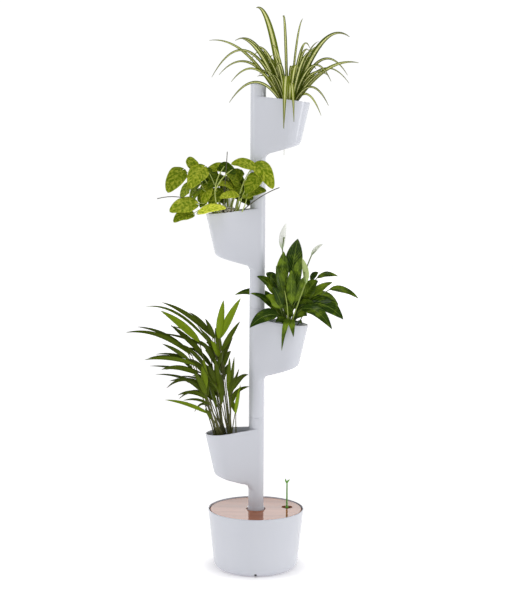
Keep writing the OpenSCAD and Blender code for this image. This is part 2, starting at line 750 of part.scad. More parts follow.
// Each row is a thin runner's two ends and the lift of its middle
pothos_runners = [
    [[-18, -25, -2], [-2, -45, 208], -14],
    [[16, -25, -2], [158, -66, 100], 12],
    [[-20, -18, -2], [-215, -70, 64], 30]
];
module pothos() {
    stalk_d = 4;
    runner_d = 2.5;
    knee_z = 60;
    pieces = 4;
    color(leaf_green) on_soil(2) union() {
        for (leaf = pothos_leaves) {
            root = [leaf[0][0] * 0.12, leaf[0][1] * 0.15, -root_depth];
            knee = [leaf[0][0] * 0.45, leaf[0][1] * 0.55, max(knee_z, leaf[0][2] * 0.8)];
            stalk(root, knee, stalk_d);
            stalk(knee, leaf[0], stalk_d);
            blade(leaf[0], leaf[1], leaf[2], leaf[3], leaf_t, 0.62);
        }
        for (run = pothos_runners) {
            points = [for (i = [0:pieces]) leaf_at(run[0], run[1], run[2], i / pieces)];
            for (i = [1:pieces]) stalk(points[i - 1], points[i], runner_d);
        }
    }
}

// Peace lily: rows as for the pothos
lily_leaves = [
    [[-16, -15, 125], [-11, -40, 247], 6, 46], [[15, 5, 172], [33, -12, 276], 6, 46],
    [[10, -35, 99], [46, -52, 235], 8, 44], [[-27, -40, 110], [-93, -60, 171], 10, 36],
    [[-29, -30, 136], [-62, -55, 179], 6, 28], [[-32, -45, 63], [-113, -62, 119], 12, 24],
    [[-22, -48, 73], [-66, -66, 112], 8, 30], [[-29, -52, 50], [-114, -70, 14], 16, 38],
    [[10, -48, 40], [-16, -88, -54], 30, 20], [[8, -46, 36], [20, -84, -12], 16, 20],
    [[51, -25, 73], [175, -35, 37], 26, 60], [[46, -45, 70], [140, -78, -4], 22, 40],
    [[51, -10, 99], [96, -35, 156], 8, 40], [[75, -15, 104], [141, -30, 151], 6, 26],
    [[96, 25, 159], [161, 30, 164], 8, 20], [[135, 10, 125], [224, 5, 97], 12, 20],
    [[75, 20, 154], [99, 15, 177], 4, 18], [[75, 20, 94], [163, 30, 73], 18, 30],
    [[-30, 48, 80], [-162, 52, 101], 20, 24], [[10, 45, 110], [30, 95, 150], 14, 42],
    [[-30, 40, 120], [-60, 85, 170], 12, 40], [[50, 45, 80], [110, 95, 60], 20, 46],
    [[0, 55, 60], [-30, 115, 30], 20, 42]
];
module peace_lily() {
    stalk_d = 4;
    color([0.12, 0.3, 0.1]) on_soil(3) union()
        for (leaf = lily_leaves) {
            root = [leaf[0][0] * 0.2, leaf[0][1] * 0.2, -root_depth];
            knee = [leaf[0][0] * 0.5, leaf[0][1] * 0.6, leaf[0][2] * 0.7];
            stalk(root, knee, stalk_d);
            stalk(knee, leaf[0], stalk_d);
            blade(leaf[0], leaf[1], leaf[2], leaf[3], leaf_t, 0.8);
        }
}

// Flowers of the peace lily: a stalk with a white spathe
flower_rows = [
    [[-14, 10, 252], [-4, -6, 331], 4, 24],
    [[77, 0, 234], [110, -12, 268], 3, 13],
    [[56, -62, 152], [45, -76, 229], 4, 24]
];
module lily_flowers() {
    stalk_d = 3.5;
    stalk_y = 18;
    color([0.95, 0.96, 0.9]) on_soil(3) for (row = flower_rows) {
        knee = [row[0][0] * 0.5, stalk_y, row[0][2] * 0.6];
        union() {
            stalk([row[0][0] * 0.3, stalk_y, -root_depth], knee, stalk_d);
            stalk(knee, row[0], stalk_d);
            blade(row[0], row[1], row[2], row[3], 3, 0.75);
        }
    }
}

// Palm: each row is a leaflet's foot, its tip, the lift of its middle, and its width
palm_leaflets = [
    [[-88, -10, 306], [-207, -20, 403], 6, 28], [[-41, 10, 313], [-206, 5, 427], 16, 16],
    [[-47, 0, 322], [-119, -10, 398], 8, 12], [[-60, 20, 300], [-258, 30, 410], 34, 10],
    [[-40, 0, 313], [-69, -15, 379], 3, 14], [[-26, -10, 316], [-12, -30, 438], 4, 26],
    [[-23, 0, 316], [41, -15, 443], 6, 24], [[-110, -15, 263], [-314, -30, 336], 26, 17],
    [[-128, 0, 282], [-283, 20, 347], 14, 12], [[-118, -25, 250], [-201, -35, 302], 4, 14],
    [[-100, -30, 236], [-255, -50, 254], 12, 14], [[-90, -25, 205], [-203, -50, 224], 12, 19],
    [[-80, 25, 200], [-196, 50, 207], 10, 9], [[-70, -35, 155], [-73, -50, 258], 2, 24],
    [[-80, -35, 168], [-186, -60, 168], 24, 14], [[-70, 30, 155], [-228, 60, 190], 12, 9],
    [[-60, -40, 130], [-151, -65, 147], 14, 15], [[-55, -45, 85], [-190, -75, 134], 8, 13],
    [[-55, 40, 85], [-105, 60, 70], 20, 10], [[-50, -45, 70], [-68, -60, 105], 3, 12],
    [[-35, -30, 180], [-63, -45, 237], 8, 18], [[5, -25, 148], [8, -38, 260], 2, 16],
    [[14, -10, 160], [22, -22, 260], 2, 14], [[14, -35, 155], [66, -52, 210], 12, 20],
    [[28, -30, 83], [42, -46, 176], 2, 18], [[26, -20, 86], [5, -34, 145], 2, 14],
    [[-32, 0, 148], [-72, -15, 207], 4, 24], [[-47, 15, 133], [-91, 10, 201], 4, 22],
    [[-23, -5, 257], [-51, -15, 309], 4, 22], [[-30, 30, 240], [-90, 95, 330], 12, 22],
    [[-20, 35, 200], [10, 100, 260], 14, 22], [[-60, 40, 180], [-140, 110, 230], 16, 20],
    [[-40, 40, 120], [-80, 110, 120], 20, 18]
];
module palm() {
    cane_d = 5;
    color([0.2, 0.36, 0.1]) on_soil(4) union() {
        for (leaf = palm_leaflets) {
            blade(leaf[0], leaf[1], leaf[2], leaf[3], leaf_t, 0.8);
            stalk([leaf[0][0] * 0.28, leaf[0][1] * 0.45, -root_depth], leaf[0], cane_d);
        }
    }
}

// White pebbles heaped on the pothos's soil: a packed heap with its top layer as rings of single pebbles
module pebbles() {
    pebble_r = 4.5;
    heap_slope = 36;
    sink = 1;
    edge_z = 2;
    ring_step = 6.5;
    rings = 6;
    foot_r = soil_edge_r - 1;
    foot_z = -soil_heap * foot_r / soil_edge_r - sink;
    function heap_z(r) = edge_z + (foot_r - r) * tan(heap_slope);
    color([0.93, 0.9, 0.87]) on_soil(2) union() {
        rotate_extrude($fn = 32) polygon([
            [0, -sink], [foot_r, foot_z], [foot_r, edge_z], [ring_step, heap_z(ring_step)],
            [0, heap_z(ring_step)]]);
        for (i = [0:rings - 1])
            let (ring_r = foot_r - pebble_r - i * ring_step)
            let (count = floor(PI * ring_r / (1.05 * pebble_r)))
                for (j = [0:count - 1])
                    rotate((j + i / 2) * 360 / count) translate([ring_r, 0, heap_z(ring_r) + sink])
                        sphere(r = pebble_r * (0.85 + 0.15 * sin((i + j) * 77)), $fn = 8);
    }
}

base_tank();
lid();
mast_socket();
socket_screws();
pump_body();
pump_rotor();
pump_strainer();
pump_feet();
riser_tube();
cable_gland();
notch_bush();
float_guide();
float_body();
level_stick();
for (n = [1:module_count]) {
    at_module(n) pot_shell();
    at_module(n) spigot_seal();
    at_module(n) drain_plug();
    at_module(n) liner();
    at_module(n) soil();
}
spider_plant();
pothos();
pebbles();
peace_lily();
lily_flowers();
palm();
mast_cap();
top_spout();
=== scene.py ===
import math
import random

import bmesh
import bpy
from mathutils import Matrix, Vector, noise


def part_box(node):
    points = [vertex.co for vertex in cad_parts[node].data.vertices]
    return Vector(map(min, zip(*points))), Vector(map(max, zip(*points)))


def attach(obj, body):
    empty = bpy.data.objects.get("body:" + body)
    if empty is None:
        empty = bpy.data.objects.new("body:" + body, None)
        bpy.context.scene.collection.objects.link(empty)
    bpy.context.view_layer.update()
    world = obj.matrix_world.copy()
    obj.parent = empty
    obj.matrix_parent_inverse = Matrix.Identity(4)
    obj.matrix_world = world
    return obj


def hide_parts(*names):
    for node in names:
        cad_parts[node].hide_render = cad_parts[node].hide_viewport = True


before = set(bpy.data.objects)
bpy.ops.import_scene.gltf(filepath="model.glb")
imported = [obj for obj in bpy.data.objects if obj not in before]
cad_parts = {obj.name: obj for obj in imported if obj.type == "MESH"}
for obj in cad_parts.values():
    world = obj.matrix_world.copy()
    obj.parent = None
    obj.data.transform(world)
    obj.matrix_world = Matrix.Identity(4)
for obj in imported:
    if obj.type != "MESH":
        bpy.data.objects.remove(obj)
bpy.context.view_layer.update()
scene = bpy.context.scene
mm = 0.001
modules = (1, 2, 3, 4)  # from the top pot down


# camera, at the photograph's viewing angle

cameraSet = {
    "distance": 4.64,   # from the mast, metres
    "height": 1.402,    # above the floor, metres
    "side": -0.003,     # to the right of the mast, metres
    "focalPx": 1499,    # focal length in pixels of the picture's long side
    "longSidePx": 600,
    "horizonPx": 120.7, # height of the horizon, from the picture's top
    "shift": -0.10,     # the part of the downward look that is lens shift
    "lean": 0.34,       # degrees
}


def makeCamera(s):
    data = bpy.data.cameras.new("studioCamera")
    data.lens = data.sensor_width * s["focalPx"] / s["longSidePx"]
    data.shift_y = s["shift"]
    below = s["longSidePx"] * (0.5 + s["shift"]) - s["horizonPx"]
    down = math.atan(below / s["focalPx"])
    camera = bpy.data.objects.new("studioCamera", data)
    turn = Matrix.Rotation(math.pi / 2 - down, 4, "X") @ Matrix.Rotation(math.radians(s["lean"]), 4, "Z")
    camera.matrix_world = Matrix.Translation((s["side"], -s["distance"], s["height"])) @ turn
    scene.collection.objects.link(camera)
    scene.camera = camera


makeCamera(cameraSet)
print("camera set")


# materials

class Sock:  # a shader socket that Python maths can be written on
    def __init__(self, tree, socket=None):
        self.tree = tree
        self.socket = socket

    def add(self, kind, settings=None, sockets=None, out=0):  # any node, settings first
        made = self.tree.nodes.new("ShaderNode" + kind)
        for key, value in (settings or {}).items():
            if key == "stops":
                ramp = made.color_ramp
                while len(ramp.elements) < len(value):
                    ramp.elements.new(0.5)
                for element, (place, colour) in zip(ramp.elements, value):
                    element.position = place
                    element.color = (*colour, 1)
            else:
                setattr(made, key, value)
        for key, value in (sockets or {}).items():
            if isinstance(value, Sock):
                self.tree.links.new(value.socket, made.inputs[key])
            else:
                made.inputs[key].default_value = value
        return Sock(self.tree, made.outputs[out])

    def calc(self, operation, first, second=0.0):
        return self.add("Math", {"operation": operation}, {0: first, 1: second})

    def __add__(self, other):
        return self.calc("ADD", self, other)

    def __sub__(self, other):
        return self.calc("SUBTRACT", self, other)

    def __rsub__(self, other):
        return self.calc("SUBTRACT", other, self)

    def __mul__(self, other):
        return self.calc("MULTIPLY", self, other)

    def __abs__(self):
        return self.calc("ABSOLUTE", self)

    __radd__ = __add__
    __rmul__ = __mul__

    def step(self, low, high):  # 0 below low, 1 above high, smooth between
        limits = {"Value": self, "From Min": low, "From Max": high}
        return self.add("MapRange", {"interpolation_type": "SMOOTHSTEP"}, limits)

    def mix(self, first, second):  # from one colour to another by this value
        first, second = [c if isinstance(c, Sock) else (*c, 1) for c in (first, second)]
        ends = {0: self, 6: first, 7: second}  # 6, 7 and the output 2 are the node's colour sockets
        return self.add("Mix", {"data_type": "RGBA"}, ends, 2)

    def coords(self, scale=(1, 1, 1), source="Object"):
        place = self.add("TexCoord", out=source)
        return self.add("Mapping", {}, {"Vector": place, "Scale": scale})

    def noise(self, scale, stretch=(1, 1, 1), detail=4, source="Object"):
        values = {"Vector": self.coords(stretch, source), "Scale": scale, "Detail": detail}
        return self.add("TexNoise", {}, values)

    def bump(self, height, strength, distance):
        return self.add("Bump", {}, {"Height": height, "Strength": strength, "Distance": distance})

    def uv(self):  # across and along a leaf
        place = self.add("TexCoord", out="UV")
        return [self.add("SeparateXYZ", {}, {0: place}, axis) for axis in "XY"]

    def tone(self):  # each leaf's own number from 0 to 1
        return self.add("Attribute", {"attribute_name": "tone"}, out="Fac")


def newMaterial(name, constants, paint):
    material = bpy.data.materials.new(name)
    material.use_nodes = True
    tree = material.node_tree
    shader = tree.nodes["Principled BSDF"]
    for key, value in constants.items():
        shader.inputs[key].default_value = value
    for key, value in paint(Sock(tree)).items():
        tree.links.new(value.socket, shader.inputs[key])
    return material


def clouded(dark, pale, scale, rough, stretch=(1, 1, 1), detail=4, grain=None):
    # a paint of two shades in soft clouds; rough is the roughness and what the clouds add to it
    def paint(k):
        cloud = k.noise(scale, stretch, detail)
        made = {"Base Color": cloud.mix(dark, pale), "Roughness": rough[0] + rough[1] * cloud}
        if grain:  # its scale, detail, strength and depth
            made["Normal"] = k.bump(k.noise(grain[0], detail=grain[1]), *grain[2:])
        return made

    return paint


def paintLidWood(k):
    board = k.noise(3, (1.2, 9, 9), detail=3)
    fibre = k.noise(9, (4, 90, 40), detail=5)
    pore = k.noise(30, (6, 120, 60), detail=2).step(0.62, 0.72)
    figure = 0.55 * board + 0.45 * fibre
    stops = [(0.25, (0.27, 0.075, 0.026)), (0.5, (0.40, 0.125, 0.045)), (0.75, (0.52, 0.19, 0.08))]
    wood = k.add("ValToRGB", {"stops": stops}, {"Fac": figure})
    return {
        "Base Color": (0.5 * pore).mix(wood, (0.13, 0.045, 0.02)),
        "Roughness": 0.12 + 0.16 * fibre,
        "Normal": k.bump(fibre, 0.05, 0.0004),
    }


def paintSoil(k):
    crumb = k.noise(180, detail=6)
    patch = k.noise(28, detail=3)
    flake = k.noise(330, detail=2).step(0.66, 0.74)
    earth = crumb.mix((0.006, 0.004, 0.003), (0.05, 0.032, 0.02))
    return {
        "Base Color": (flake * patch).mix(earth, (0.13, 0.085, 0.05)),
        "Roughness": 0.85 + 0.12 * patch,
        "Normal": k.bump(crumb, 0.9, 0.003),
    }


def paintPebble(k):
    cloud = k.noise(55)
    tone = k.tone()
    pale = tone.mix((0.95, 0.94, 0.92), (0.92, 0.83, 0.76))
    stone = cloud.step(0.45, 0.75).mix(pale, (0.84, 0.76, 0.71))
    return {
        # tones past 1 turn dark brown: painted shade on the heap between the pebbles
        "Base Color": tone.step(1.2, 1.8).mix(stone, (0.16, 0.13, 0.1)),
        "Roughness": 0.5 + 0.3 * cloud,
        "Normal": k.bump(k.noise(260), 0.25, 0.0006),
    }


def paintSpiderLeaf(k):
    across, along = k.uv()
    streak = k.noise(9, (30, 1.2, 1), source="UV")
    edge = abs(across - 0.5) * 2 + 0.16 * (streak - 0.5)
    green = k.tone().mix((0.072, 0.102, 0.006), (0.215, 0.26, 0.016))
    cream = streak.mix((0.6, 0.62, 0.2), (0.83, 0.83, 0.42))
    striped = edge.step(0.26, 0.44).mix(cream, green)
    dry = along.step(0.72, 0.98)
    return {
        "Base Color": (0.45 * dry).mix(striped, (0.085, 0.08, 0.04)),
        "Roughness": 0.34 + 0.2 * streak,
        "Normal": k.bump(streak, 0.25, 0.0006),
    }


def paintPothosLeaf(k):
    across, along = k.uv()
    tone = k.tone()
    vein = abs(across - 0.5).step(0.0, 0.03)
    slant = abs(across - 0.5) * 9 - along * 16
    ribs = k.calc("SINE", slant * 2.2) * 0.5 + 0.5
    alongRibs = k.add("CombineXYZ", {}, {0: across * 7, 1: slant * 0.9, 2: tone * 40})
    fleck = k.add("TexNoise", {}, {"Vector": alongRibs, "Scale": 1, "Detail": 4})
    marble = 0.45 * k.noise(150, detail=5) + 0.55 * fleck
    green = tone.mix((0.023, 0.055, 0.002), (0.28, 0.415, 0.003))
    lime = tone.mix((0.11, 0.165, 0.004), (0.9, 0.93, 0.1))
    patch = (marble + 0.05 * ribs + 0.1 * tone).step(0.47, 0.72)
    leaf = patch.mix(green, lime)
    # the paler margin round each leaf is a painted highlight along its edge; the pale midrib is the leaf's
    # own
    margin = (abs(across - 0.5) * 2).step(0.8, 1.0)
    lined = (0.55 * margin + 0.45 - 0.45 * vein).mix(leaf, lime)
    return {
        "Base Color": lined,
        "Roughness": 0.26 + 0.18 * marble,
        "Normal": k.bump(0.3 * marble + 0.7 * ribs, 0.35, 0.0014),
    }


def paintPothosStalk(k):
    cloud = k.noise(40)
    fresh = cloud.mix((0.33, 0.42, 0.07), (0.5, 0.55, 0.16))
    return {"Base Color": k.tone().mix(fresh, (0.07, 0.065, 0.035)), "Roughness": 0.35 + 0.2 * cloud}


def paintLilyLeaf(k):
    across, along = k.uv()
    tone = k.tone()
    rib = abs(across - 0.5).step(0.0, 0.045)
    slant = abs(across - 0.5) * 18 - along * 26
    veins = k.calc("SINE", slant * 2.4) * 0.5 + 0.5
    # painted sheen: noise patches of lighter green on each leaf stand in for glossy highlights
    paintedSheen = k.noise(38, detail=2).step(0.4, 0.7)
    deep = veins.mix((0.012, 0.03, 0.002), (0.04, 0.083, 0.004))
    fresh = veins.mix((0.135, 0.235, 0.009), (0.31, 0.43, 0.028))
    leaf = (0.75 * tone + 0.4 * paintedSheen).step(0.1, 0.95).mix(deep, fresh)
    return {
        "Base Color": (0.6 - 0.6 * rib).mix(leaf, (0.24, 0.34, 0.05)),
        "Roughness": 0.24 + 0.16 * k.noise(40),
        "Normal": k.bump(veins, 0.6, 0.0016),
    }


def paintLilyStalk(k):
    cloud = k.noise(40)
    dark = cloud.mix((0.07, 0.12, 0.012), (0.17, 0.23, 0.04))
    return {"Base Color": k.tone().mix(dark, (0.28, 0.36, 0.06)), "Roughness": 0.3 + 0.2 * cloud}


def paintSpathe(k):
    along = k.uv()[1]
    ribs = k.noise(12, (22, 1, 1), source="UV")
    white = ribs.mix((0.80, 0.82, 0.74), (0.90, 0.91, 0.86))
    green = ribs.mix((0.2, 0.3, 0.02), (0.42, 0.52, 0.08))
    faded = k.tone().mix(white, green)
    base = 1 - along.step(0.0, 0.3)
    return {
        "Base Color": (0.7 * base).mix(faded, (0.42, 0.6, 0.2)),
        "Roughness": 0.4 + 0.15 * ribs,
        "Normal": k.bump(ribs, 0.15, 0.0006),
    }


def paintPalmLeaf(k):
    across, along = k.uv()
    tone = k.tone()
    pleat = k.calc("SINE", across * 44) * 0.5 + 0.5
    rib = abs(across - 0.5).step(0.0, 0.05)
    dark = pleat.mix((0.03, 0.045, 0.003), (0.07, 0.096, 0.006))
    bright = pleat.mix((0.15, 0.225, 0.005), (0.24, 0.34, 0.012))
    leaf = (tone.step(0.1, 1.0) + 0.25 * (0.65 - along)).mix(dark, bright)
    return {
        "Base Color": (0.35 - 0.35 * rib).mix(leaf, (0.18, 0.25, 0.03)),
        "Roughness": 0.3 + 0.15 * k.noise(30),
        "Normal": k.bump(pleat, 0.3, 0.0008),
    }


finishes = {  # each finish's paint, and what is even all over it
    "whitePlastic": (clouded((0.582, 0.6, 0.655), (0.62, 0.632, 0.68), 7, (0.15, 0.08), detail=2,
                             grain=(1400, 2, 0.04, 0.0002)), {"IOR": 1.5}),
    "lidWood": (paintLidWood, {"Specular IOR Level": 0.0, "Coat Weight": 0.64, "Coat Roughness": 0.04}),
    "blackPlastic": (clouded((0.016, 0.016, 0.018), (0.03, 0.03, 0.034), 30, (0.42, 0.16),
                             grain=(1100, 2, 0.2, 0.0004)), {}),
    "rubber": (clouded((0.014, 0.014, 0.015), (0.03, 0.03, 0.031), 60, (0.7, 0.2),
                       grain=(900, 4, 0.25, 0.0004)), {}),
    "steel": (clouded((0.5, 0.5, 0.52), (0.66, 0.66, 0.67), 40, (0.22, 0.2), (1, 1, 30)), {"Metallic": 1.0}),
    "hose": (clouded((0.6, 0.66, 0.68), (0.72, 0.77, 0.78), 25, (0.2, 0.2)), {}),
    "foam": (clouded((0.7, 0.7, 0.66), (0.82, 0.82, 0.78), 420, (0.75, 0.2), detail=3,
                     grain=(420, 3, 0.4, 0.0008)), {}),
    "sprout": (clouded((0.085, 0.31, 0.004), (0.13, 0.4, 0.01), 60, (0.25, 0.15)), {"Coat Weight": 0.3}),
    "soil": (paintSoil, {"Specular IOR Level": 0.2}),
    "pebble": (paintPebble, {}),
    "spiderLeaf": (paintSpiderLeaf, {"Specular IOR Level": 0.08}),
    "pothosLeaf": (paintPothosLeaf, {"Specular IOR Level": 0.05}),
    "pothosStalk": (paintPothosStalk, {}),
    "lilyLeaf": (paintLilyLeaf, {"Specular IOR Level": 0.05, "Coat Weight": 0.15, "Coat Roughness": 0.07}),
    "lilyStalk": (paintLilyStalk, {}),
    "spathe": (paintSpathe, {}),
    "palmLeaf": (paintPalmLeaf, {"Specular IOR Level": 0.08}),
    "palmCane": (clouded((0.04, 0.042, 0.006), (0.14, 0.14, 0.02), 16, (0.4, 0.2), (1, 1, 6)), {}),
}
looks = {name: newMaterial(name, constants, paint) for name, (paint, constants) in finishes.items()}
print("materials made:", len(looks))


# shared making of meshes

def newMesh():
    bm = bmesh.new()
    bm.loops.layers.uv.new("UVMap")
    bm.verts.layers.float.new("tone")
    return bm


def mapGrid(bm, acrossSteps, alongSteps, place, tone=0.0, closed=False):
    # a flat grid whose points are moved by place(u, v); the grid's own u and v stay as its UV map
    made = bmesh.ops.create_grid(bm, x_segments=acrossSteps, y_segments=alongSteps, size=0.5)["verts"]
    uvLayer = bm.loops.layers.uv.active
    toneLayer = bm.verts.layers.float["tone"]
    middle = Vector((0.5, 0.5))
    for face in {f for v in made for f in v.link_faces}:
        for loop in face.loops:
            loop[uvLayer].uv = loop.vert.co.xy + middle
    for v in made:
        v[toneLayer] = tone
        v.co = place(v.co.x + 0.5, v.co.y + 0.5)
    if closed:
        bmesh.ops.remove_doubles(bm, verts=made, dist=1e-6)


def faceOut(bm):
    bmesh.ops.recalc_face_normals(bm, faces=bm.faces[:])


def spinProfile(bm, profile, steps):
    # a chain of (radius, height) points spun round the vertical axis
    chain = [bm.verts.new((r, 0, z)) for r, z in profile]
    edges = [bm.edges.new(pair) for pair in zip(chain, chain[1:])]
    axis = {"cent": (0, 0, 0), "axis": (0, 0, 1), "angle": 2 * math.pi}
    bmesh.ops.spin(bm, geom=chain + edges, steps=steps, use_merge=True, **axis)
    bmesh.ops.remove_doubles(bm, verts=bm.verts[:], dist=1e-6)
    faceOut(bm)


def arcPoints(centre, radius, start, end, steps):  # angles in degrees
    angles = [math.radians(start + (end - start) * i / steps) for i in range(steps + 1)]
    return [(centre[0] + radius * math.cos(a), centre[1] + radius * math.sin(a)) for a in angles]


def onCurve(start, bend, end, t):  # a smooth curve that leans towards its bend
    return start.lerp(bend, t).lerp(bend.lerp(end, t), t)


def toObject(name, bm):
    mesh = bpy.data.meshes.new(name)
    bm.to_mesh(mesh)
    bm.free()
    made = bpy.data.objects.new(name, mesh)
    scene.collection.objects.link(made)
    return made


def newPiece(name, bm, look, body, stands=(), sharpAngle=None):
    piece = toObject(name, bm)
    mesh = piece.data
    for face in mesh.polygons:
        face.use_smooth = True
    if sharpAngle:
        mesh.set_sharp_from_angle(angle=math.radians(sharpAngle))
    mesh.materials.append(looks[look])
    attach(piece, body)
    if stands:
        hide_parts(*stands)
    return piece


def thicken(piece, thickness, offset=0.0):
    wall = piece.modifiers.new("wall", "SOLIDIFY")
    wall.thickness = thickness
    wall.offset = offset


def softenEdges(piece, width, angle):
    edge = piece.modifiers.new("edge", "BEVEL")
    edge.width = width
    edge.segments = 2
    edge.limit_method = "ANGLE"
    edge.angle_limit = math.radians(angle)


# white mouldings: four pot-and-mast modules

potSet = {
    "mastRadius": 24 * mm,
    "reach": 160 * mm,       # rim's outer end, from the axis
    "width": 117 * mm,       # at the rim
    "depth": 129 * mm,       # of the outer end
    "wall": 3.2 * mm,
    "rimSlope": 6.7,         # degrees, as the drafts and the floor's slope
    "endDraft": 12.8,
    "sideDraft": 7.1,
    "floorSlope": 16.2,
    "blend": 21 * mm,        # radius from the underside into the mast
    "cornerRound": 11 * mm,
    "mastRound": 15 * mm,    # added to it close to the mast
    "mastTop": 35 * mm,      # above the rim, on the axis
    "moduleHeight": 345 * mm,
    "spigotLength": 40 * mm,
    "spigotRadii": (17.7 * mm, 20.7 * mm),
    "boreRadius": 20.8 * mm,
    "edge": 0.9 * mm,
    "edgeAngle": 50,         # degrees, from which an edge is rounded
    "outerSteps": 44,
    "sideSteps": 18,
    "mastSteps": 24,
    "wallRows": 12,
    "cornerRows": 6,
    "floorRows": 18,
    "sections": (20 * mm, -250 * mm),  # heights of two level sections that the wall runs through
    "joinDrop": 12 * mm,     # from the blend down to where the skin is the mast's own round
    "pathSteps": 60,
    "floorEase": (1.3, 2.5),   # beyond so many mast radii, the power that crowds rows to the mast
    "bendShares": (0.4, 0.6),  # most of the wall and of the floor that a rounding takes
    "tubeGap": 0.1 * mm,     # tube inside the skin
    "tubeFoot": 5 * mm,
    "tubeStep": (-12 * mm, -10 * mm),
    "tubeSteps": 96,
    "spigotRise": 6 * mm,
    "spigotSteps": 64,
}


def slope(degrees):
    return math.tan(math.radians(degrees))


def potOutline(s, z):
    # level section of the pot: a round end, two straight sides, and the mast's own round
    rimEnd = -s["reach"] * slope(s["rimSlope"])
    mouth = -(s["reach"] - s["width"] / 2) * slope(s["rimSlope"])
    radius = s["width"] / 2 + (z - mouth) * slope(s["sideDraft"])
    centre = s["reach"] + (z - rimEnd) * slope(s["endDraft"]) - radius
    touch = math.degrees(math.acos((s["mastRadius"] - radius) / centre))
    outer = arcPoints((centre, 0), radius, -touch, touch, s["outerSteps"])
    inner = arcPoints((0, 0), s["mastRadius"], touch, 360 - touch, s["mastSteps"])
    sides = []
    shares = [(i / s["sideSteps"]) ** 2 for i in range(1, s["sideSteps"])]
    for start, end, order in ((inner[0], outer[-1], -1), (inner[-1], outer[0], 1)):
        sides.append([tuple(Vector(start).lerp(Vector(end), share)) for share in shares[::order]])
    return [Vector((*p, z)) for p in outer + sides[0] + inner + sides[1]]


def underside(s, point):
    # height of the sloping floor's underside, or of the blend that runs from it into the mast
    rise = slope(s["floorSlope"])
    cornerX = s["reach"] - s["depth"] * slope(s["endDraft"])
    cornerZ = -s["reach"] * slope(s["rimSlope"]) - s["depth"]
    plane = cornerZ + (point.x - cornerX) * rise
    blendX = s["mastRadius"] + s["blend"]
    centreZ = cornerZ + (blendX - cornerX) * rise - s["blend"] / math.cos(math.radians(s["floorSlope"]))
    inward = min(max(blendX - point.xy.length, 0), s["blend"])
    if inward < s["blend"] * math.sin(math.radians(s["floorSlope"])):
        return plane
    return min(plane, centreZ + math.sqrt(s["blend"] ** 2 - inward ** 2))


def spread(points, count):
    # count + 1 points at even distances along a path
    lengths = [0.0]
    for a, b in zip(points, points[1:]):
        lengths.append(lengths[-1] + (b - a).length)
    made, k = [], 0
    for i in range(count + 1):
        want = lengths[-1] * i / count
        while k < len(points) - 2 and lengths[k + 1] < want:
            k += 1
        gap = lengths[k + 1] - lengths[k]
        made.append(points[k].lerp(points[k + 1], (want - lengths[k]) / gap if gap > 0 else 0))
    return made


def potColumn(s, top, low, joinZ):
    # one line from the rim down the wall, round the corner, along the underside and on to the mast
    def onWall(z):
        return top.lerp(low, (top.z - z) / (top.z - low.z))

    rim = onWall(0)
    for _ in range(4):  # settles on the sloping rim
        rim = onWall(-rim.x * slope(s["rimSlope"]))
    above, below = rim.z, low.z
    for _ in range(40):  # closes in on where the wall meets the underside
        middle = (above + below) / 2
        if middle > underside(s, onWall(middle)):
            above = middle
        else:
            below = middle
    corner = onWall(above)
    foot = Vector((corner.x, corner.y, 0)).normalized() * s["mastRadius"]
    steps, (easeFrom, ease) = s["pathSteps"], s["floorEase"]
    far = corner.xy.length > s["mastRadius"] * easeFrom
    path = []
    for i in range(steps + 1):
        p = corner.lerp(foot, 1 - (1 - i / steps) ** ease if far else i / steps)
        path.append(Vector((p.x, p.y, underside(s, p) if i else corner.z)))
    path.append(Vector((foot.x, foot.y, joinZ)))
    floorPath = spread(path, steps)
    close = min(max(2 - (corner.xy.length - s["mastRadius"]) / s["blend"], 0), 1)
    bendSize = s["cornerRound"] + close * s["mastRound"]
    wallLength = (rim - corner).length
    floorLength = sum((b - a).length for a, b in zip(floorPath, floorPath[1:]))
    reach = min(bendSize, s["bendShares"][0] * wallLength)
    onward = min(bendSize, s["bendShares"][1] * floorLength)
    startBend = corner.lerp(rim, reach / wallLength)
    share = onward / floorLength * steps
    endBend = floorPath[int(share)].lerp(floorPath[int(share) + 1], share % 1)
    rows = s["cornerRows"]
    bend = [onCurve(startBend, corner, endBend, i / rows) for i in range(rows)]
    rest = [endBend] + floorPath[int(share) + 1:]
    return spread([rim, startBend], s["wallRows"])[:-1] + bend + spread(rest, s["floorRows"])


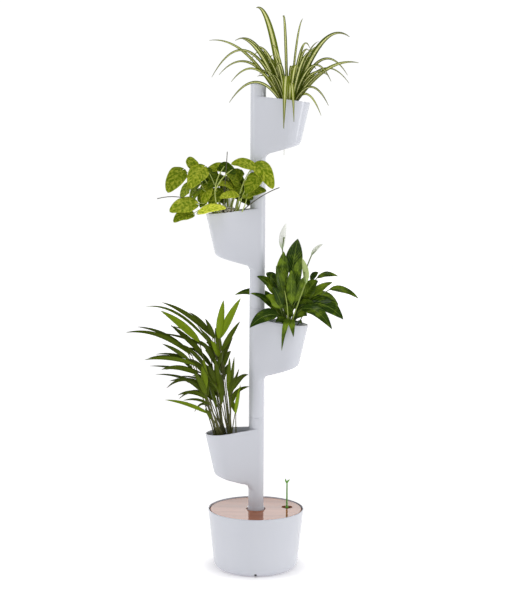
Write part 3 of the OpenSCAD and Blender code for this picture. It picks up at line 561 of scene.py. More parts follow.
def makePot(n, s):
    low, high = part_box(f"pot_shell_{n}")
    rimHeight = high.z - s["mastTop"]
    mastLow = s["mastTop"] - s["moduleHeight"]
    tops, lows = [potOutline(s, z) for z in s["sections"]]
    joinZ = underside(s, Vector((s["mastRadius"], 0, 0))) - s["joinDrop"]
    columns = []
    for top, bottom in zip(tops, lows):
        column = potColumn(s, top, bottom, joinZ)
        foot = column[-1]
        columns.append(column + [Vector((foot.x, foot.y, z)) for z in ((joinZ + mastLow) / 2, mastLow)])
    count, rows = len(columns), len(columns[0]) - 1
    columns.append(columns[0])

    def onSkin(u, v):
        return columns[round(u * count)][round((1 - v) * rows)]

    bm = newMesh()
    mapGrid(bm, count, rows, onSkin, closed=True)
    turn = Matrix.Rotation(0 if high.x > -low.x else math.pi, 4, "Z")
    place = Matrix.Translation((0, 0, rimHeight)) @ turn
    bmesh.ops.transform(bm, matrix=place, verts=bm.verts[:])
    faceOut(bm)
    skin = newPiece(f"potShell{n}", bm, "whitePlastic", f"module_{n}", [f"pot_shell_{n}"])
    thicken(skin, s["wall"], -1)
    softenEdges(skin, s["edge"], s["edgeAngle"])

    bm = newMesh()
    bore, skinR, edge = s["boreRadius"], s["mastRadius"], s["edge"]
    tubeLow, tubeTop = joinZ - s["tubeFoot"], s["mastTop"]
    stepLow, stepTop = s["tubeStep"]
    inset = skinR - s["tubeGap"]
    tube = [(bore, tubeLow), (inset, tubeLow), (inset, stepLow), (skinR, stepTop)]
    tube += [(skinR, tubeTop - edge), (skinR - edge, tubeTop), (bore, tubeTop)]
    spinProfile(bm, tube + tube[:1], s["tubeSteps"])
    inner, outer = s["spigotRadii"]
    spigotLow, spigotTop = mastLow - s["spigotLength"], mastLow + s["spigotRise"]
    spigot = [(inner, spigotLow), (outer, spigotLow), (outer, spigotTop), (inner, spigotTop)]
    spinProfile(bm, spigot + spigot[:1], s["spigotSteps"])
    bmesh.ops.transform(bm, matrix=place, verts=bm.verts[:])
    newPiece(f"mastTube{n}", bm, "whitePlastic", f"module_{n}", sharpAngle=40)


for n in modules:
    makePot(n, potSet)
print("pots made")


# water tank

tankSet = {
    "wall": 3 * mm,
    "draft": 6,               # degrees
    "corner": 27 * mm,        # radius of the lower edge
    "footHeight": 6 * mm,
    "footWidth": 9 * mm,
    "floor": 4 * mm,
    "lip": 1.3 * mm,          # rounding of the rim
    "notchWidth": 7 * mm,
    "pocketRise": 6 * mm,
    "ribs": 8,
    "ribReach": 8 * mm,
    "ribThick": 3 * mm,
    "lidLow": 168.5 * mm,
    "bossRing": 54 * mm,
    "bossRadius": 6 * mm,
    "bossHeight": 8 * mm,
    "padRadius": 18 * mm,
    "padHeight": 3.8 * mm,
    "bosses": 4,
    "footEdge": 1 * mm,       # chamfer inside the foot ring
    "footInset": 4 * mm,      # level strip before the lower edge's round
    "ribFoot": 10 * mm,       # above the inner round
    "outerRows": (0.4, 0.7),  # shares of the height, as the inner row
    "innerRow": 0.5,
    "cornerSteps": 22,
    "lipSteps": 5,
    "innerSteps": 14,
    "steps": 144,
}


def cutAway(piece, cutter):
    cut = piece.modifiers.new("cut", "BOOLEAN")
    cut.operation = "DIFFERENCE"
    cut.solver = "EXACT"
    cut.object = cutter
    bpy.context.view_layer.update()
    whole = piece.evaluated_get(bpy.context.evaluated_depsgraph_get())
    made = bpy.data.meshes.new_from_object(whole)
    piece.modifiers.remove(cut)
    piece.data = made
    bpy.data.objects.remove(cutter)


def boxObject(name, low, high):
    bm = bmesh.new()
    made = bmesh.ops.create_cube(bm, size=1)["verts"]
    size = Vector(high) - Vector(low)
    place = Matrix.Translation((Vector(low) + Vector(high)) / 2) @ Matrix.Diagonal((*size, 1))
    bmesh.ops.transform(bm, matrix=place, verts=made)
    return toObject(name, bm)


def addPost(bm, centre, radius, low, high, steps=40):
    size = {"radius1": radius, "radius2": radius, "depth": high - low}
    made = bmesh.ops.create_cone(bm, cap_ends=True, segments=steps, **size)
    place = Matrix.Translation((centre[0], centre[1], (low + high) / 2))
    bmesh.ops.transform(bm, matrix=place, verts=made["verts"])


def makeTank(s):
    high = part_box("base_tank")[1]
    rimRadius, rimZ = high.x, high.z

    def wallX(z):
        return rimRadius - (rimZ - z) * slope(s["draft"])

    def inX(z):
        return wallX(z) - s["wall"] / math.cos(math.radians(s["draft"]))

    corner, lip = s["corner"], s["lip"]
    arcX = wallX(corner) - corner / math.cos(math.radians(s["draft"]))
    floorTop = s["footHeight"] + s["floor"]
    footIn = arcX - s["footWidth"]
    innerZ = corner + s["wall"]
    innerX = arcX - s["wall"]
    innerArc = []
    for i in range(s["innerSteps"] + 1):
        a = math.radians(90 * i / s["innerSteps"])
        across = (inX(innerZ) - innerX) * math.cos(a)
        innerArc.append((innerX + across, innerZ - (innerZ - floorTop) * math.sin(a)))
    footZ, edge = s["footHeight"], s["footEdge"]
    profile = [(0, footZ), (footIn - edge, footZ), (footIn, footZ - edge)]
    profile += [(footIn, edge), (footIn + edge, 0), (arcX - s["footInset"], 0)]
    profile += arcPoints((arcX, corner), corner, -90, -s["draft"], s["cornerSteps"])
    profile += [(wallX(z), z) for z in [rimZ * share for share in s["outerRows"]] + [rimZ - 3 * lip]]
    profile += arcPoints((rimRadius - lip, rimZ - lip), lip, 0, 90, s["lipSteps"])
    profile += arcPoints((inX(rimZ) + lip, rimZ - lip), lip, 90, 180, s["lipSteps"])
    profile += [(inX(z), z) for z in (rimZ - 3 * lip, rimZ * s["innerRow"])] + innerArc + [(0, floorTop)]
    bm = newMesh()
    spinProfile(bm, profile, s["steps"])
    tank = newPiece("waterTank", bm, "whitePlastic", "base", ["base_tank"], sharpAngle=50)
    half, front = s["notchWidth"] / 2, -arcX - corner
    passage = (half, mm - footIn, footZ)
    pocket = (half, front + corner / 2, footZ + s["pocketRise"])
    for end in (passage, pocket):
        cutAway(tank, boxObject("notch", (-half, front, -mm), end))

    bm = newMesh()
    ribTop, ribLow = s["lidLow"], innerZ + s["ribFoot"]
    corners = [(inX(ribTop) + mm, ribTop), (inX(ribTop) - s["ribReach"], ribTop), (inX(ribLow) + mm, ribLow)]
    for i in range(s["ribs"]):
        a = (i + 0.5) * 2 * math.pi / s["ribs"]
        face = bm.faces.new([bm.verts.new((x, -s["ribThick"] / 2, h)) for x, h in corners])
        made = bmesh.ops.extrude_face_region(bm, geom=[face])["geom"]
        moved = [v for v in made if isinstance(v, bmesh.types.BMVert)]
        bmesh.ops.translate(bm, vec=(0, s["ribThick"], 0), verts=moved)
        turned = list(face.verts) + moved
        bmesh.ops.rotate(bm, cent=(0, 0, 0), matrix=Matrix.Rotation(a, 3, "Z"), verts=turned)
    for i in range(s["bosses"]):
        a = math.pi / 4 + i * 2 * math.pi / s["bosses"]
        centre = (s["bossRing"] * math.cos(a), s["bossRing"] * math.sin(a))
        addPost(bm, centre, s["bossRadius"], floorTop - mm, floorTop + s["bossHeight"])
    guideLow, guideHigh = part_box("float_guide")
    middle = (guideLow + guideHigh) / 2
    addPost(bm, middle, s["padRadius"], floorTop - mm, floorTop + s["padHeight"])
    faceOut(bm)
    newPiece("tankRibs", bm, "whitePlastic", "base", sharpAngle=30)


makeTank(tankSet)
print("tank made")


# level stick with its sprout

stickSet = {
    "radius": 2.8 * mm,
    "beadRadius": 5.5 * mm,
    "beadHalf": 2.5 * mm,
    "beadSlope": 4 * mm,
    "beadRound": 2 * mm,
    "beadDrop": 1 * mm,     # of the bead's middle, below the lid's top
    "lidTop": 184.5 * mm,
    "neck": ((0.8, -4 * mm), (0.55, 0), (0, 1.2 * mm)),  # shares of the radius, heights from the fork
    "steps": 28,
    "length": 15 * mm,      # of the sprout, above the fork
    "leafFoot": 3 * mm,     # below the fork
    "leafWidth": 5.4 * mm,
    "leafThick": 1.6 * mm,
    "leafSteps": (14, 16),
    "leaves": [((-0.42, 0.55), (-0.25, 1)), ((0.12, 0.6), (0.75, 0.7))],  # bend and tip, in lengths
}


def growLeaflet(bm, foot, bend, tip, s):
    # a small closed leaf with a lens-like section
    front = Vector((0, -1, 0))
    side = (tip - foot).cross(front).normalized()

    def place(u, v):
        t = 0.5 - 0.5 * math.cos(math.pi * v)  # rows are closer at both ends
        half = s["leafWidth"] / 2 * (0.25 + 0.75 * math.sin(math.pi * t ** 0.8)) * (1 - t ** 6)
        deep = s["leafThick"] / 2 * (1 - t ** 3)
        a = 2 * math.pi * u
        section = side * (half * math.cos(a)) + front * (deep * math.sin(a))
        return onCurve(foot, bend, tip, t) + section * (0 if v == 0 else 1)

    mapGrid(bm, *s["leafSteps"], place, closed=True)


def makeStick(s):
    low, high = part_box("level_stick")
    floatLow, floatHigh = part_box("float_body")
    centre = (floatLow + floatHigh) / 2
    r, lidTop, length = s["radius"], s["lidTop"], s["length"]
    fork = high.z - length
    beadEnd = s["beadHalf"] + s["beadSlope"]
    middle = (s["beadRadius"] - s["beadRound"], lidTop - s["beadDrop"])
    bead = [(r, lidTop - beadEnd)] + arcPoints(middle, s["beadRound"], -60, 60, 6) + [(r, lidTop + beadEnd)]
    neck = [(r * share, fork + rise) for share, rise in s["neck"]]
    bm = newMesh()
    spinProfile(bm, [(0, low.z), (r, low.z)] + bead + neck, s["steps"])
    foot = Vector((0, 0, fork - s["leafFoot"]))
    for leaf in s["leaves"]:
        bend, tip = [Vector((x * length, 0, fork + z * length)) for x, z in leaf]
        growLeaflet(bm, foot, bend, tip, s)
    faceOut(bm)
    bmesh.ops.translate(bm, vec=(centre.x, centre.y, 0), verts=bm.verts[:])
    newPiece("levelStick", bm, "sprout", "level", ["level_stick"], sharpAngle=55)


makeStick(stickSet)
print("level stick made")


# soil and pebbles

soilSet = {
    "heap": 4 * mm, "sink": 0.6 * mm, "rough": 1.5 * mm, "roughScale": 160,
    "footShare": 0.75, "footRise": 0.5 * mm,
    "gridSteps": (72, 30), "topRows": 0.7, "wallRows": 0.2, "floorFrom": 0.95,  # shares of the grid's rows
    "crumbs": 90, "crumbSize": 2.4 * mm, "crumbShares": (0.4, 1.0), "crumbReach": 0.93, "crumbRise": 0.2,
    "crumbFlat": ((0.5, 0.9), (0.35, 0.7)),
}


def soilFrame(n):
    # middle of the soil's top, its radius there and its lowest height
    low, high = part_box(f"soil_{n}")
    return Vector(((low.x + high.x) / 2, 0, high.z)), (high.x - low.x) / 2, low.z


def makeSoil(n, s):
    top, radius, bottom = soilFrame(n)
    draw = random.Random(n)
    footRadius = radius * s["footShare"]
    shift = Vector((0, 0, 7 * n))  # each pot's own roughness

    def place(u, v):
        a = 2 * math.pi * u
        if v <= s["topRows"]:
            r = radius * v / s["topRows"]
            spot = Vector((r * math.cos(a), r * math.sin(a), 0)) * s["roughScale"] + shift
            z = top.z - s["heap"] * r / radius
            z += s["rough"] * noise.noise(spot) * (1 - v / s["topRows"]) ** 0.3 - s["sink"]
        else:
            t = min((v - s["topRows"]) / s["wallRows"], 1)
            r = radius + (footRadius - radius) * t if v <= s["floorFrom"] else 0
            z = top.z - s["heap"] - s["sink"] + (bottom + s["footRise"] - top.z + s["heap"]) * t
        return Vector((top.x + r * math.cos(a), r * math.sin(a), z))

    bm = newMesh()
    mapGrid(bm, *s["gridSteps"], place, closed=True)
    for _ in range(s["crumbs"]):
        a, r = draw.uniform(0, 2 * math.pi), radius * s["crumbReach"] * math.sqrt(draw.random())
        size = s["crumbSize"] * draw.uniform(*s["crumbShares"])
        z = top.z - s["heap"] * r / radius + s["crumbRise"] * size
        made = bmesh.ops.create_icosphere(bm, subdivisions=1, radius=size)["verts"]
        turn = Matrix.Rotation(draw.uniform(0, 6), 4, "X") @ Matrix.Rotation(draw.uniform(0, 6), 4, "Z")
        shape = Matrix.Diagonal((1, *[draw.uniform(*share) for share in s["crumbFlat"]], 1))
        spot = Matrix.Translation((top.x + r * math.cos(a), r * math.sin(a), z))
        bmesh.ops.transform(bm, matrix=spot @ turn @ shape, verts=made)
    faceOut(bm)
    newPiece(f"soil{n}", bm, "soil", f"planting_{n}", [f"soil_{n}"])


for n in modules:
    makeSoil(n, soilSet)
print("soil made")

pebbleSet = {
    "count": 170, "tries": 6000, "seed": 5, "size": (3.2 * mm, 5.8 * mm),
    "apart": 0.72, "lumps": 0.18, "lumpScale": 0.9, "rise": 0.25,   # in a pebble's sizes
    "flat": ((0.75, 1), (0.62, 0.85)),
    "slope": 43, "edgeZ": 8 * mm, "margin": 1 * mm, "flatRadius": 15 * mm, "sink": 1 * mm, "heapSteps": 48,
    "paintedShadeTone": 2,   # past the pebbles' own 0 to 1: the heap under them is painted dark, painted shade in the gaps between the stones
}


def makePebbles(s):
    top, radius = soilFrame(2)[:2]
    radius -= s["margin"]
    draw = random.Random(s["seed"])
    bm = newMesh()
    toneLayer = bm.verts.layers.float["tone"]

    def heapZ(r):
        return s["edgeZ"] + (radius - max(r, s["flatRadius"])) * slope(s["slope"])

    under = [(0, -s["sink"]), (radius, -soilSet["heap"] - s["sink"])]
    over = [(r, heapZ(r) - s["sink"]) for r in (radius, s["flatRadius"])]
    spinProfile(bm, under + over + [(0, heapZ(0) - s["sink"])], s["heapSteps"])
    bmesh.ops.translate(bm, vec=top, verts=bm.verts[:])
    # the heap under the pebbles takes the dark tone, painted shade in the gaps
    for v in bm.verts:
        v[toneLayer] = s["paintedShadeTone"]
    laid = []
    for _ in range(s["tries"]):
        size = draw.uniform(*s["size"])
        r = (radius - size) * math.sqrt(draw.random())
        a = draw.uniform(0, 2 * math.pi)
        spot = Vector((r * math.cos(a), r * math.sin(a)))
        if any((spot - other).length < s["apart"] * (size + otherSize) for other, otherSize in laid):
            continue
        laid.append((spot, size))
        made = bmesh.ops.create_icosphere(bm, subdivisions=2, radius=size)["verts"]
        tone, shift = draw.random(), Vector((draw.uniform(0, 50), 0, 0))
        for v in made:
            v[toneLayer] = tone
            v.co *= 1 + s["lumps"] * noise.noise(v.co / size * s["lumpScale"] + shift)
        z = top.z + heapZ(r) + s["rise"] * size
        turn = Matrix.Rotation(draw.uniform(0, 6), 4, "Z")
        shape = Matrix.Diagonal((1, *[draw.uniform(*share) for share in s["flat"]], 1))
        place = Matrix.Translation((top.x + spot.x, spot.y, z))
        bmesh.ops.transform(bm, matrix=place @ turn @ shape, verts=made)
        if len(laid) == s["count"]:
            break
    newPiece("whitePebbles", bm, "pebble", "planting_2", ["pebbles"])
    print("pebbles laid:", len(laid))


makePebbles(pebbleSet)


# leaves and stalks, shared by the four plants

leafSet = {
    "face": Vector((0, -0.77, 0.64)),   # the way that broad leaves look
    "phase": 6.3, "waveRange": (0.6, 1.3), "waves": 9, "waveSkew": 1.6,  # of the wavy edges
    "thick": 0.5 * mm,
    "rootZ": -3,   # mm, from the soil's top
}


def arch(foot, tip, lift, t):
    return foot.lerp(tip, t) + Vector((0, 0, 4 * lift * t * (1 - t)))


def growLeaf(bm, foot, tip, lift, width, s, tone, draw):
    run = tip - foot
    phase = draw.uniform(0, leafSet["phase"])
    wave = s["wave"] * draw.uniform(*leafSet["waveRange"])
    roll = math.radians(draw.uniform(-s["roll"], s["roll"]))

    def place(u, v):
        side = 2 * u - 1
        back = s["lobe"] * math.sin(math.pi * abs(side)) * (1 - v) ** 4
        direction = (run + Vector((0, 0, 4 * lift * (1 - 2 * v)))).normalized()
        if abs(run.x) < abs(run.y):
            across = Vector((run.y, -run.x, 0)).normalized()
        else:
            across = direction.cross(leafSet["face"]).normalized()
        across = Matrix.Rotation(roll, 3, direction) @ across
        up = across.cross(direction)
        full = max(math.sin(math.pi * min(v, 1) ** s["fullness"]), 0) ** s["blunt"]
        half = width / 2 * max(full, s["neck"] * (1 - v) ** 3, s["tip"])
        lifted = s["fold"] * abs(side) * half - s["curl"] * side * side * half
        turn = phase + leafSet["waves"] * v + (leafSet["waveSkew"] if side > 0 else 0)
        lifted += wave * half * side * side * math.sin(turn)
        return arch(foot, tip, lift, v - back) + across * (side * half) + up * lifted

    mapGrid(bm, s["acrossSteps"], s["alongSteps"], place, tone)


def growStalk(bm, points, radii, tone=0.0, rows=14, sides=8):
    # a closed round stalk along one smooth curve through a bend; its radii at both ends are in mm
    foot, bend, end = points
    startRadius, endRadius = [r * mm for r in radii]

    def place(u, v):
        t = min(max((v * rows - 1) / (rows - 2), 0), 1)
        direction = (bend - foot).lerp(end - bend, t).normalized()
        side = direction.cross(Vector((0.3, 1, 0.2))).normalized()  # a way that no stalk runs
        radius = 0 if v in (0, 1) else startRadius + (endRadius - startRadius) * t
        a = 2 * math.pi * u
        ring = side * math.cos(a) + direction.cross(side) * math.sin(a)
        return onCurve(foot, bend, end, t) + ring * radius

    mapGrid(bm, sides, rows, place, tone, closed=True)


def point(values):
    return Vector(values) * mm


def fromSoil(top, *rows):  # places in mm from the middle of the soil's top
    return [top + point(row) for row in rows]


def growOnStalk(leaves, stalks, top, row, root, knee, radii, shape, tone, draw):
    joint, tip, lift, width = row
    start, bend, foot, end = fromSoil(top, root, knee, joint, tip)
    growStalk(stalks, (start, bend, foot), radii)
    growLeaf(leaves, foot, end, lift * mm, width * mm, shape, tone, draw)


def finishLeaves(name, bm, look, body, stands, thickness=leafSet["thick"]):
    thicken(newPiece(name, bm, look, body, stands), thickness)


# spider plant in the top pot: rows are a leaf's tip on three axes, its lift and its width, in mm

spiderSet = {
    "crown": 12, "seed": 11, "slim": 0.86,
    "leaf": {"fullness": 0.6, "blunt": 0.62, "neck": 0.5, "tip": 0.1, "fold": 0.34, "curl": 0.0,
             "wave": 0.03, "lobe": 0, "roll": 12, "acrossSteps": 6, "alongSteps": 26},
    "innerLeaves": 22, "innerReach": (45, 130), "innerHeight": (85, 190), "innerWidth": (8, 12),
    "innerTurn": 50, "innerCrown": (2, 16), "innerLift": (25, 60),
    "leaves": [
        (-100, 20, 305, 85, 24), (-17, 60, 280, 90, 11), (45, 50, 275, 60, 11), (185, -30, 215, 85, 23),
        (-245, 35, 205, 60, 13), (-150, -20, 210, 50, 18), (-165, 40, 205, 75, 15), (-235, -25, 90, 125, 13),
        (-215, 60, 100, 85, 12), (-175, -55, 75, 75, 13), (-180, -85, 12, 70, 12), (-15, -105, -65, 125, 24),
        (16, -100, -45, 95, 17), (212, -60, 135, 45, 18), (128, -75, 78, 85, 13), (185, 40, 100, 95, 12),
        (192, 75, 76, 80, 12), (64, -40, 180, 80, 11), (66, 30, 172, 65, 11), (122, -55, 5, 60, 12),
        (105, 70, -25, 55, 11), (84, -30, 60, 25, 7), (95, 60, 205, 45, 8), (30, -60, 110, 60, 15),
        (-40, -70, 105, 70, 14), (-10, 90, -150, 190, 8), (60, 110, 90, 90, 12), (-70, 110, 110, 100, 12),
        (-120, 90, 140, 90, 12), (20, 130, 40, 110, 12), (62, -62, 165, 40, 15), (-50, -66, 158, 40, 14),
    ],
}


def makeSpiderPlant(s):
    top = soilFrame(1)[0]
    root = top + point((0, 0, leafSet["rootZ"]))
    draw = random.Random(s["seed"])
    bm = newMesh()
    for x, y, z, lift, width in s["leaves"]:
        out = Vector((x, y, 0)).normalized() * s["crown"] * mm
        broad = s["slim"] * width * mm
        growLeaf(bm, root + out, top + point((x, y, z)), lift * mm, broad, s["leaf"], draw.random(), draw)
    for _ in range(s["innerLeaves"]):
        a = math.radians(draw.uniform(-s["innerTurn"], s["innerTurn"]))
        reach = draw.uniform(*s["innerReach"])
        reach *= draw.choice((-1, 1))
        tip = point((reach * math.cos(a), abs(reach) * math.sin(a), draw.uniform(*s["innerHeight"])))
        out = Vector((tip.x, tip.y, 0)).normalized() * draw.uniform(*s["innerCrown"]) * mm
        lift, width = draw.uniform(*s["innerLift"]) * mm, draw.uniform(*s["innerWidth"]) * mm
        growLeaf(bm, root + out, top + tip, lift, width, s["leaf"], draw.random(), draw)
    finishLeaves("spiderPlant", bm, "spiderLeaf", "planting_1", ["spider_plant"])


makeSpiderPlant(spiderSet)
print("spider plant made")


# pothos in the second pot: rows are where a leaf meets its stalk, its tip, its lift and its width, in mm

pothosSet = {
    # innerTones are darker than tones: painted shade on the leaves deep inside the plant
    "seed": 21, "yellowLeaf": (-84, -68, 24), "tones": (0.25, 0.66), "innerTones": (0.0, 0.28),
    "stalkRadii": (2.0, 1.0), "innerRadii": (1.5, 1.0), "stemRadii": (2.0, 1.4), "runnerRadii": (1.7, 1.3),
    "rootShare": 0.3, "innerRootY": 14, "kneeShares": (0.45, 0.55, 0.8), "kneeHeight": 60,
    "leaf": {"fullness": 0.6, "blunt": 0.52, "neck": 0.14, "tip": 0.02, "fold": 0.16, "curl": 0.14,
             "wave": 0.07, "lobe": 0.14, "roll": 12, "acrossSteps": 12, "alongSteps": 28},
    "leaves": [
        ((-107, -20, 154), (-116, -38, 192), 3, 44), ((-140, -25, 150), (-183, -60, 82), 8, 62),
        ((-74, -35, 160), (-116, -70, 96), 8, 62), ((-98, -55, 48), (-176, -78, 24), 8, 56),
        ((-108, -50, 16), (-164, -75, -8), 10, 46), ((-84, -68, 24), (-4, -84, 36), 8, 34),
        ((80, -62, 160), (10, -50, 170), 10, 38), ((95, -70, 138), (58, -86, 82), 6, 58),
        ((86, -55, 170), (138, -75, 96), 14, 56), ((2, 0, 148), (28, -35, 100), 6, 44),
        ((18, -15, 98), (-26, -50, 106), 6, 38), ((-62, 0, 108), (-72, -45, 42), 8, 44),
        ((54, -45, 74), (118, -62, 88), 8, 44), ((28, -40, 76), (-24, -66, 66), 6, 30),
        ((-4, 10, 154), (-74, 10, 138), 12, 34), ((-85, -25, 94), (-104, -60, 60), 5, 32),
        ((-40, 60, 110), (-80, 95, 70), 10, 46), ((30, 55, 100), (60, 95, 60), 10, 46),
        ((-110, 40, 100), (-150, 60, 60), 10, 48),
    ],
    "innerLeaves": [
        ((-70, 5, 150), (-30, -10, 108), 8, 46), ((-30, 10, 160), (22, -15, 138), 8, 42),
        ((35, 15, 150), (10, -10, 94), 8, 50), ((-10, 5, 122), (-62, -25, 94), 8, 48),
        ((0, -5, 112), (42, -30, 74), 8, 48), ((-50, -10, 92), (-86, -35, 50), 6, 44),
        ((-20, -15, 88), (-56, -35, 40), 6, 44), ((30, -10, 92), (76, -35, 60), 6, 44),
        ((60, 10, 112), (96, -10, 74), 8, 48), ((-90, 10, 112), (-116, -20, 64), 6, 42),
        ((-60, -20, 66), (-84, -45, 36), 5, 34), ((70, 20, 130), (108, 25, 108), 6, 42),
        ((-30, 20, 70), (-10, 10, 44), 5, 36), ((20, 20, 76), (60, 10, 46), 5, 38),
        ((-20, 25, 120), (22, 20, 66), 6, 46), ((30, 25, 126), (-22, 25, 96), 6, 44),
        ((10, 30, 142), (52, 30, 88), 6, 46), ((-40, 30, 130), (-82, 30, 82), 6, 46),
        ((64, 25, 110), (34, 25, 56), 6, 42), ((-58, 25, 96), (-92, 20, 50), 6, 42),
        ((-5, 25, 90), (-40, 25, 48), 6, 40), ((80, 20, 90), (60, 15, 40), 6, 36),
    ],
    "bareStems": [
        ((-14, -22, -3), (-66, -74, 92), (-10, -52, 164)), ((-37, -54, 92), (-20, -66, 132), (14, -52, 154)),
        ((26, -24, -3), (60, -60, 40), (60, -48, 88)),
    ],
    "runners": [
        ((-18, -25, -2), (-2, -45, 208), -14), ((16, -25, -2), (158, -66, 100), 12),
        ((-20, -18, -2), (-215, -70, 64), 30),
    ],
}


def makePothos(s):
    top = soilFrame(2)[0]
    draw = random.Random(s["seed"])
    leaves, stalks = newMesh(), newMesh()
    acrossKnee, outKnee, upKnee = s["kneeShares"]
    for row in s["leaves"] + s["innerLeaves"]:
        x, y, z = row[0]
        inner = row in s["innerLeaves"]
        root = (s["rootShare"] * x, s["innerRootY"] if inner else s["rootShare"] * y, leafSet["rootZ"])
        knee = (acrossKnee * x, outKnee * y, max(s["kneeHeight"], upKnee * z))
        # inner leaves take the darker tones, as painted shade
        tone = draw.uniform(*s["innerTones" if inner else "tones"])
        if row[0] == s["yellowLeaf"]:
            tone = 1.0
        radii = s["innerRadii" if inner else "stalkRadii"]
        growOnStalk(leaves, stalks, top, row, root, knee, radii, s["leaf"], tone, draw)
    for stem in s["bareStems"]:
        growStalk(stalks, fromSoil(top, *stem), s["stemRadii"])
    for start, end, lift in s["runners"]:
        foot, tip = fromSoil(top, start, end)
        growStalk(stalks, (foot, (foot + tip) / 2 + point((0, 0, 2 * lift)), tip), s["runnerRadii"], tone=1.0)
    finishLeaves("pothosLeaves", leaves, "pothosLeaf", "planting_2", ["pothos"])
    newPiece("pothosStalks", stalks, "pothosStalk", "planting_2")


makePothos(pothosSet)
print("pothos made")


# peace lily in the third pot: rows as for the pothos

lilySet = {
    "seed": 31, "tones": (0.0, 0.55), "rootShare": 0.2, "kneeShares": (0.5, 0.6, 0.7),
    "stalkRadii": (1.7, 1.4), "stemRadii": (2.0, 1.8), "frontRadii": (1.9, 1.5),
    "leaf": {"fullness": 0.72, "blunt": 0.8, "neck": 0.12, "tip": 0.02, "fold": 0.26, "curl": 0.06,
             "wave": 0.1, "lobe": 0.03, "roll": 14, "acrossSteps": 8, "alongSteps": 22},
    "leaves": [
        ((-16, -15, 125), (-11, -40, 247), 6, 36), ((15, 5, 172), (33, -12, 284), 6, 46),
        ((10, -35, 99), (46, -52, 235), 8, 34), ((-27, -40, 110), (-93, -60, 171), 10, 36),
        ((-29, -30, 136), (-62, -55, 179), 6, 28), ((-32, -45, 63), (-113, -62, 119), 12, 24),
        ((-22, -48, 73), (-66, -66, 112), 8, 30), ((-29, -52, 50), (-114, -70, 14), 16, 38),
        ((10, -48, 40), (-16, -88, -54), 30, 20), ((8, -46, 36), (20, -84, -12), 16, 20),
        ((51, -25, 73), (175, -35, 37), 26, 60), ((46, -45, 70), (138, -78, 12), 22, 38),
        ((51, -10, 99), (96, -35, 156), 8, 40), ((75, -15, 104), (141, -30, 151), 6, 26),
        ((96, 25, 159), (161, 30, 164), 8, 20), ((135, 10, 125), (224, 5, 97), 12, 20),
        ((75, 20, 154), (99, 15, 177), 4, 18), ((75, 20, 94), (163, 30, 73), 18, 30),
        ((-30, 48, 80), (-162, 52, 101), 20, 24), ((10, 45, 110), (30, 95, 150), 14, 42),
        ((-30, 40, 120), (-60, 85, 170), 12, 40), ((50, 45, 80), (110, 95, 60), 20, 46),
        ((0, 55, 60), (-30, 115, 30), 20, 42),
    ],
    "bright": {0: 0.4, 1: 0.05, 2: 0.3, 6: 0.9, 7: 0.0, 10: 0.1, 11: 0.25, 13: 0.8, 15: 0.3},  # tones by row
    "broader": 1.14,
    "innerLeaves": [
        ((-10, -20, 70), (-52, -46, 92), 8, 34), ((5, -20, 80), (-12, -46, 140), 6, 36),
        ((25, -15, 80), (44, -40, 142), 6, 36), ((30, -20, 60), (84, -46, 84), 10, 38),
        ((-12, -25, 44), (-60, -52, 52), 10, 34), ((10, -28, 40), (-8, -58, 84), 6, 30),
        ((24, -28, 40), (62, -58, 50), 8, 34), ((6, -10, 60), (30, -30, 110), 6, 34),
        ((-5, 5, 70), (-36, 0, 130), 6, 36), ((30, 10, 80), (70, 10, 128), 6, 36),
        ((0, -30, 24), (-34, -56, 30), 8, 26), ((20, -30, 22), (46, -58, 26), 8, 26),
        ((-8, -36, 104), (-34, -56, 204), 6, 28), ((14, -44, 84), (12, -66, 192), 6, 28),
        ((26, -40, 90), (60, -60, 176), 8, 24), ((-14, -44, 72), (-44, -64, 140), 8, 24),
    ],
    "flower": {"fullness": 0.7, "blunt": 0.75, "neck": 0.1, "tip": 0.05, "fold": 0.55, "curl": -0.15,
               "wave": 0.0, "lobe": 0.05, "roll": 4, "acrossSteps": 10, "alongSteps": 18},
    "flowers": [
        ((-14, 10, 252), (-4, -6, 331), 4, 24, 0.0), ((77, 0, 234), (110, -12, 268), 3, 13, 0.15),
        ((56, -62, 152), (45, -76, 229), 4, 24, 0.85),
    ],
    "stemStarts": [  # each flower stem's root and knee
        ((-4, 18, -3), (-7, 18, 151)), ((23, 18, -3), (38, 18, 140)), ((6, -30, -3), (24, -84, 66)),
    ],
    "frontStem": ((2, -28, -3), (8, -80, 58), (-8, -66, 128)),
    "spatheThick": 0.7 * mm, "spadixRadii": (0.8, 0.1),   # the second for each mm of the spathe's width
    "spadixLength": 0.45, "spadixFront": -4, "spadixBow": 0.3, "spadixRows": 10,
}


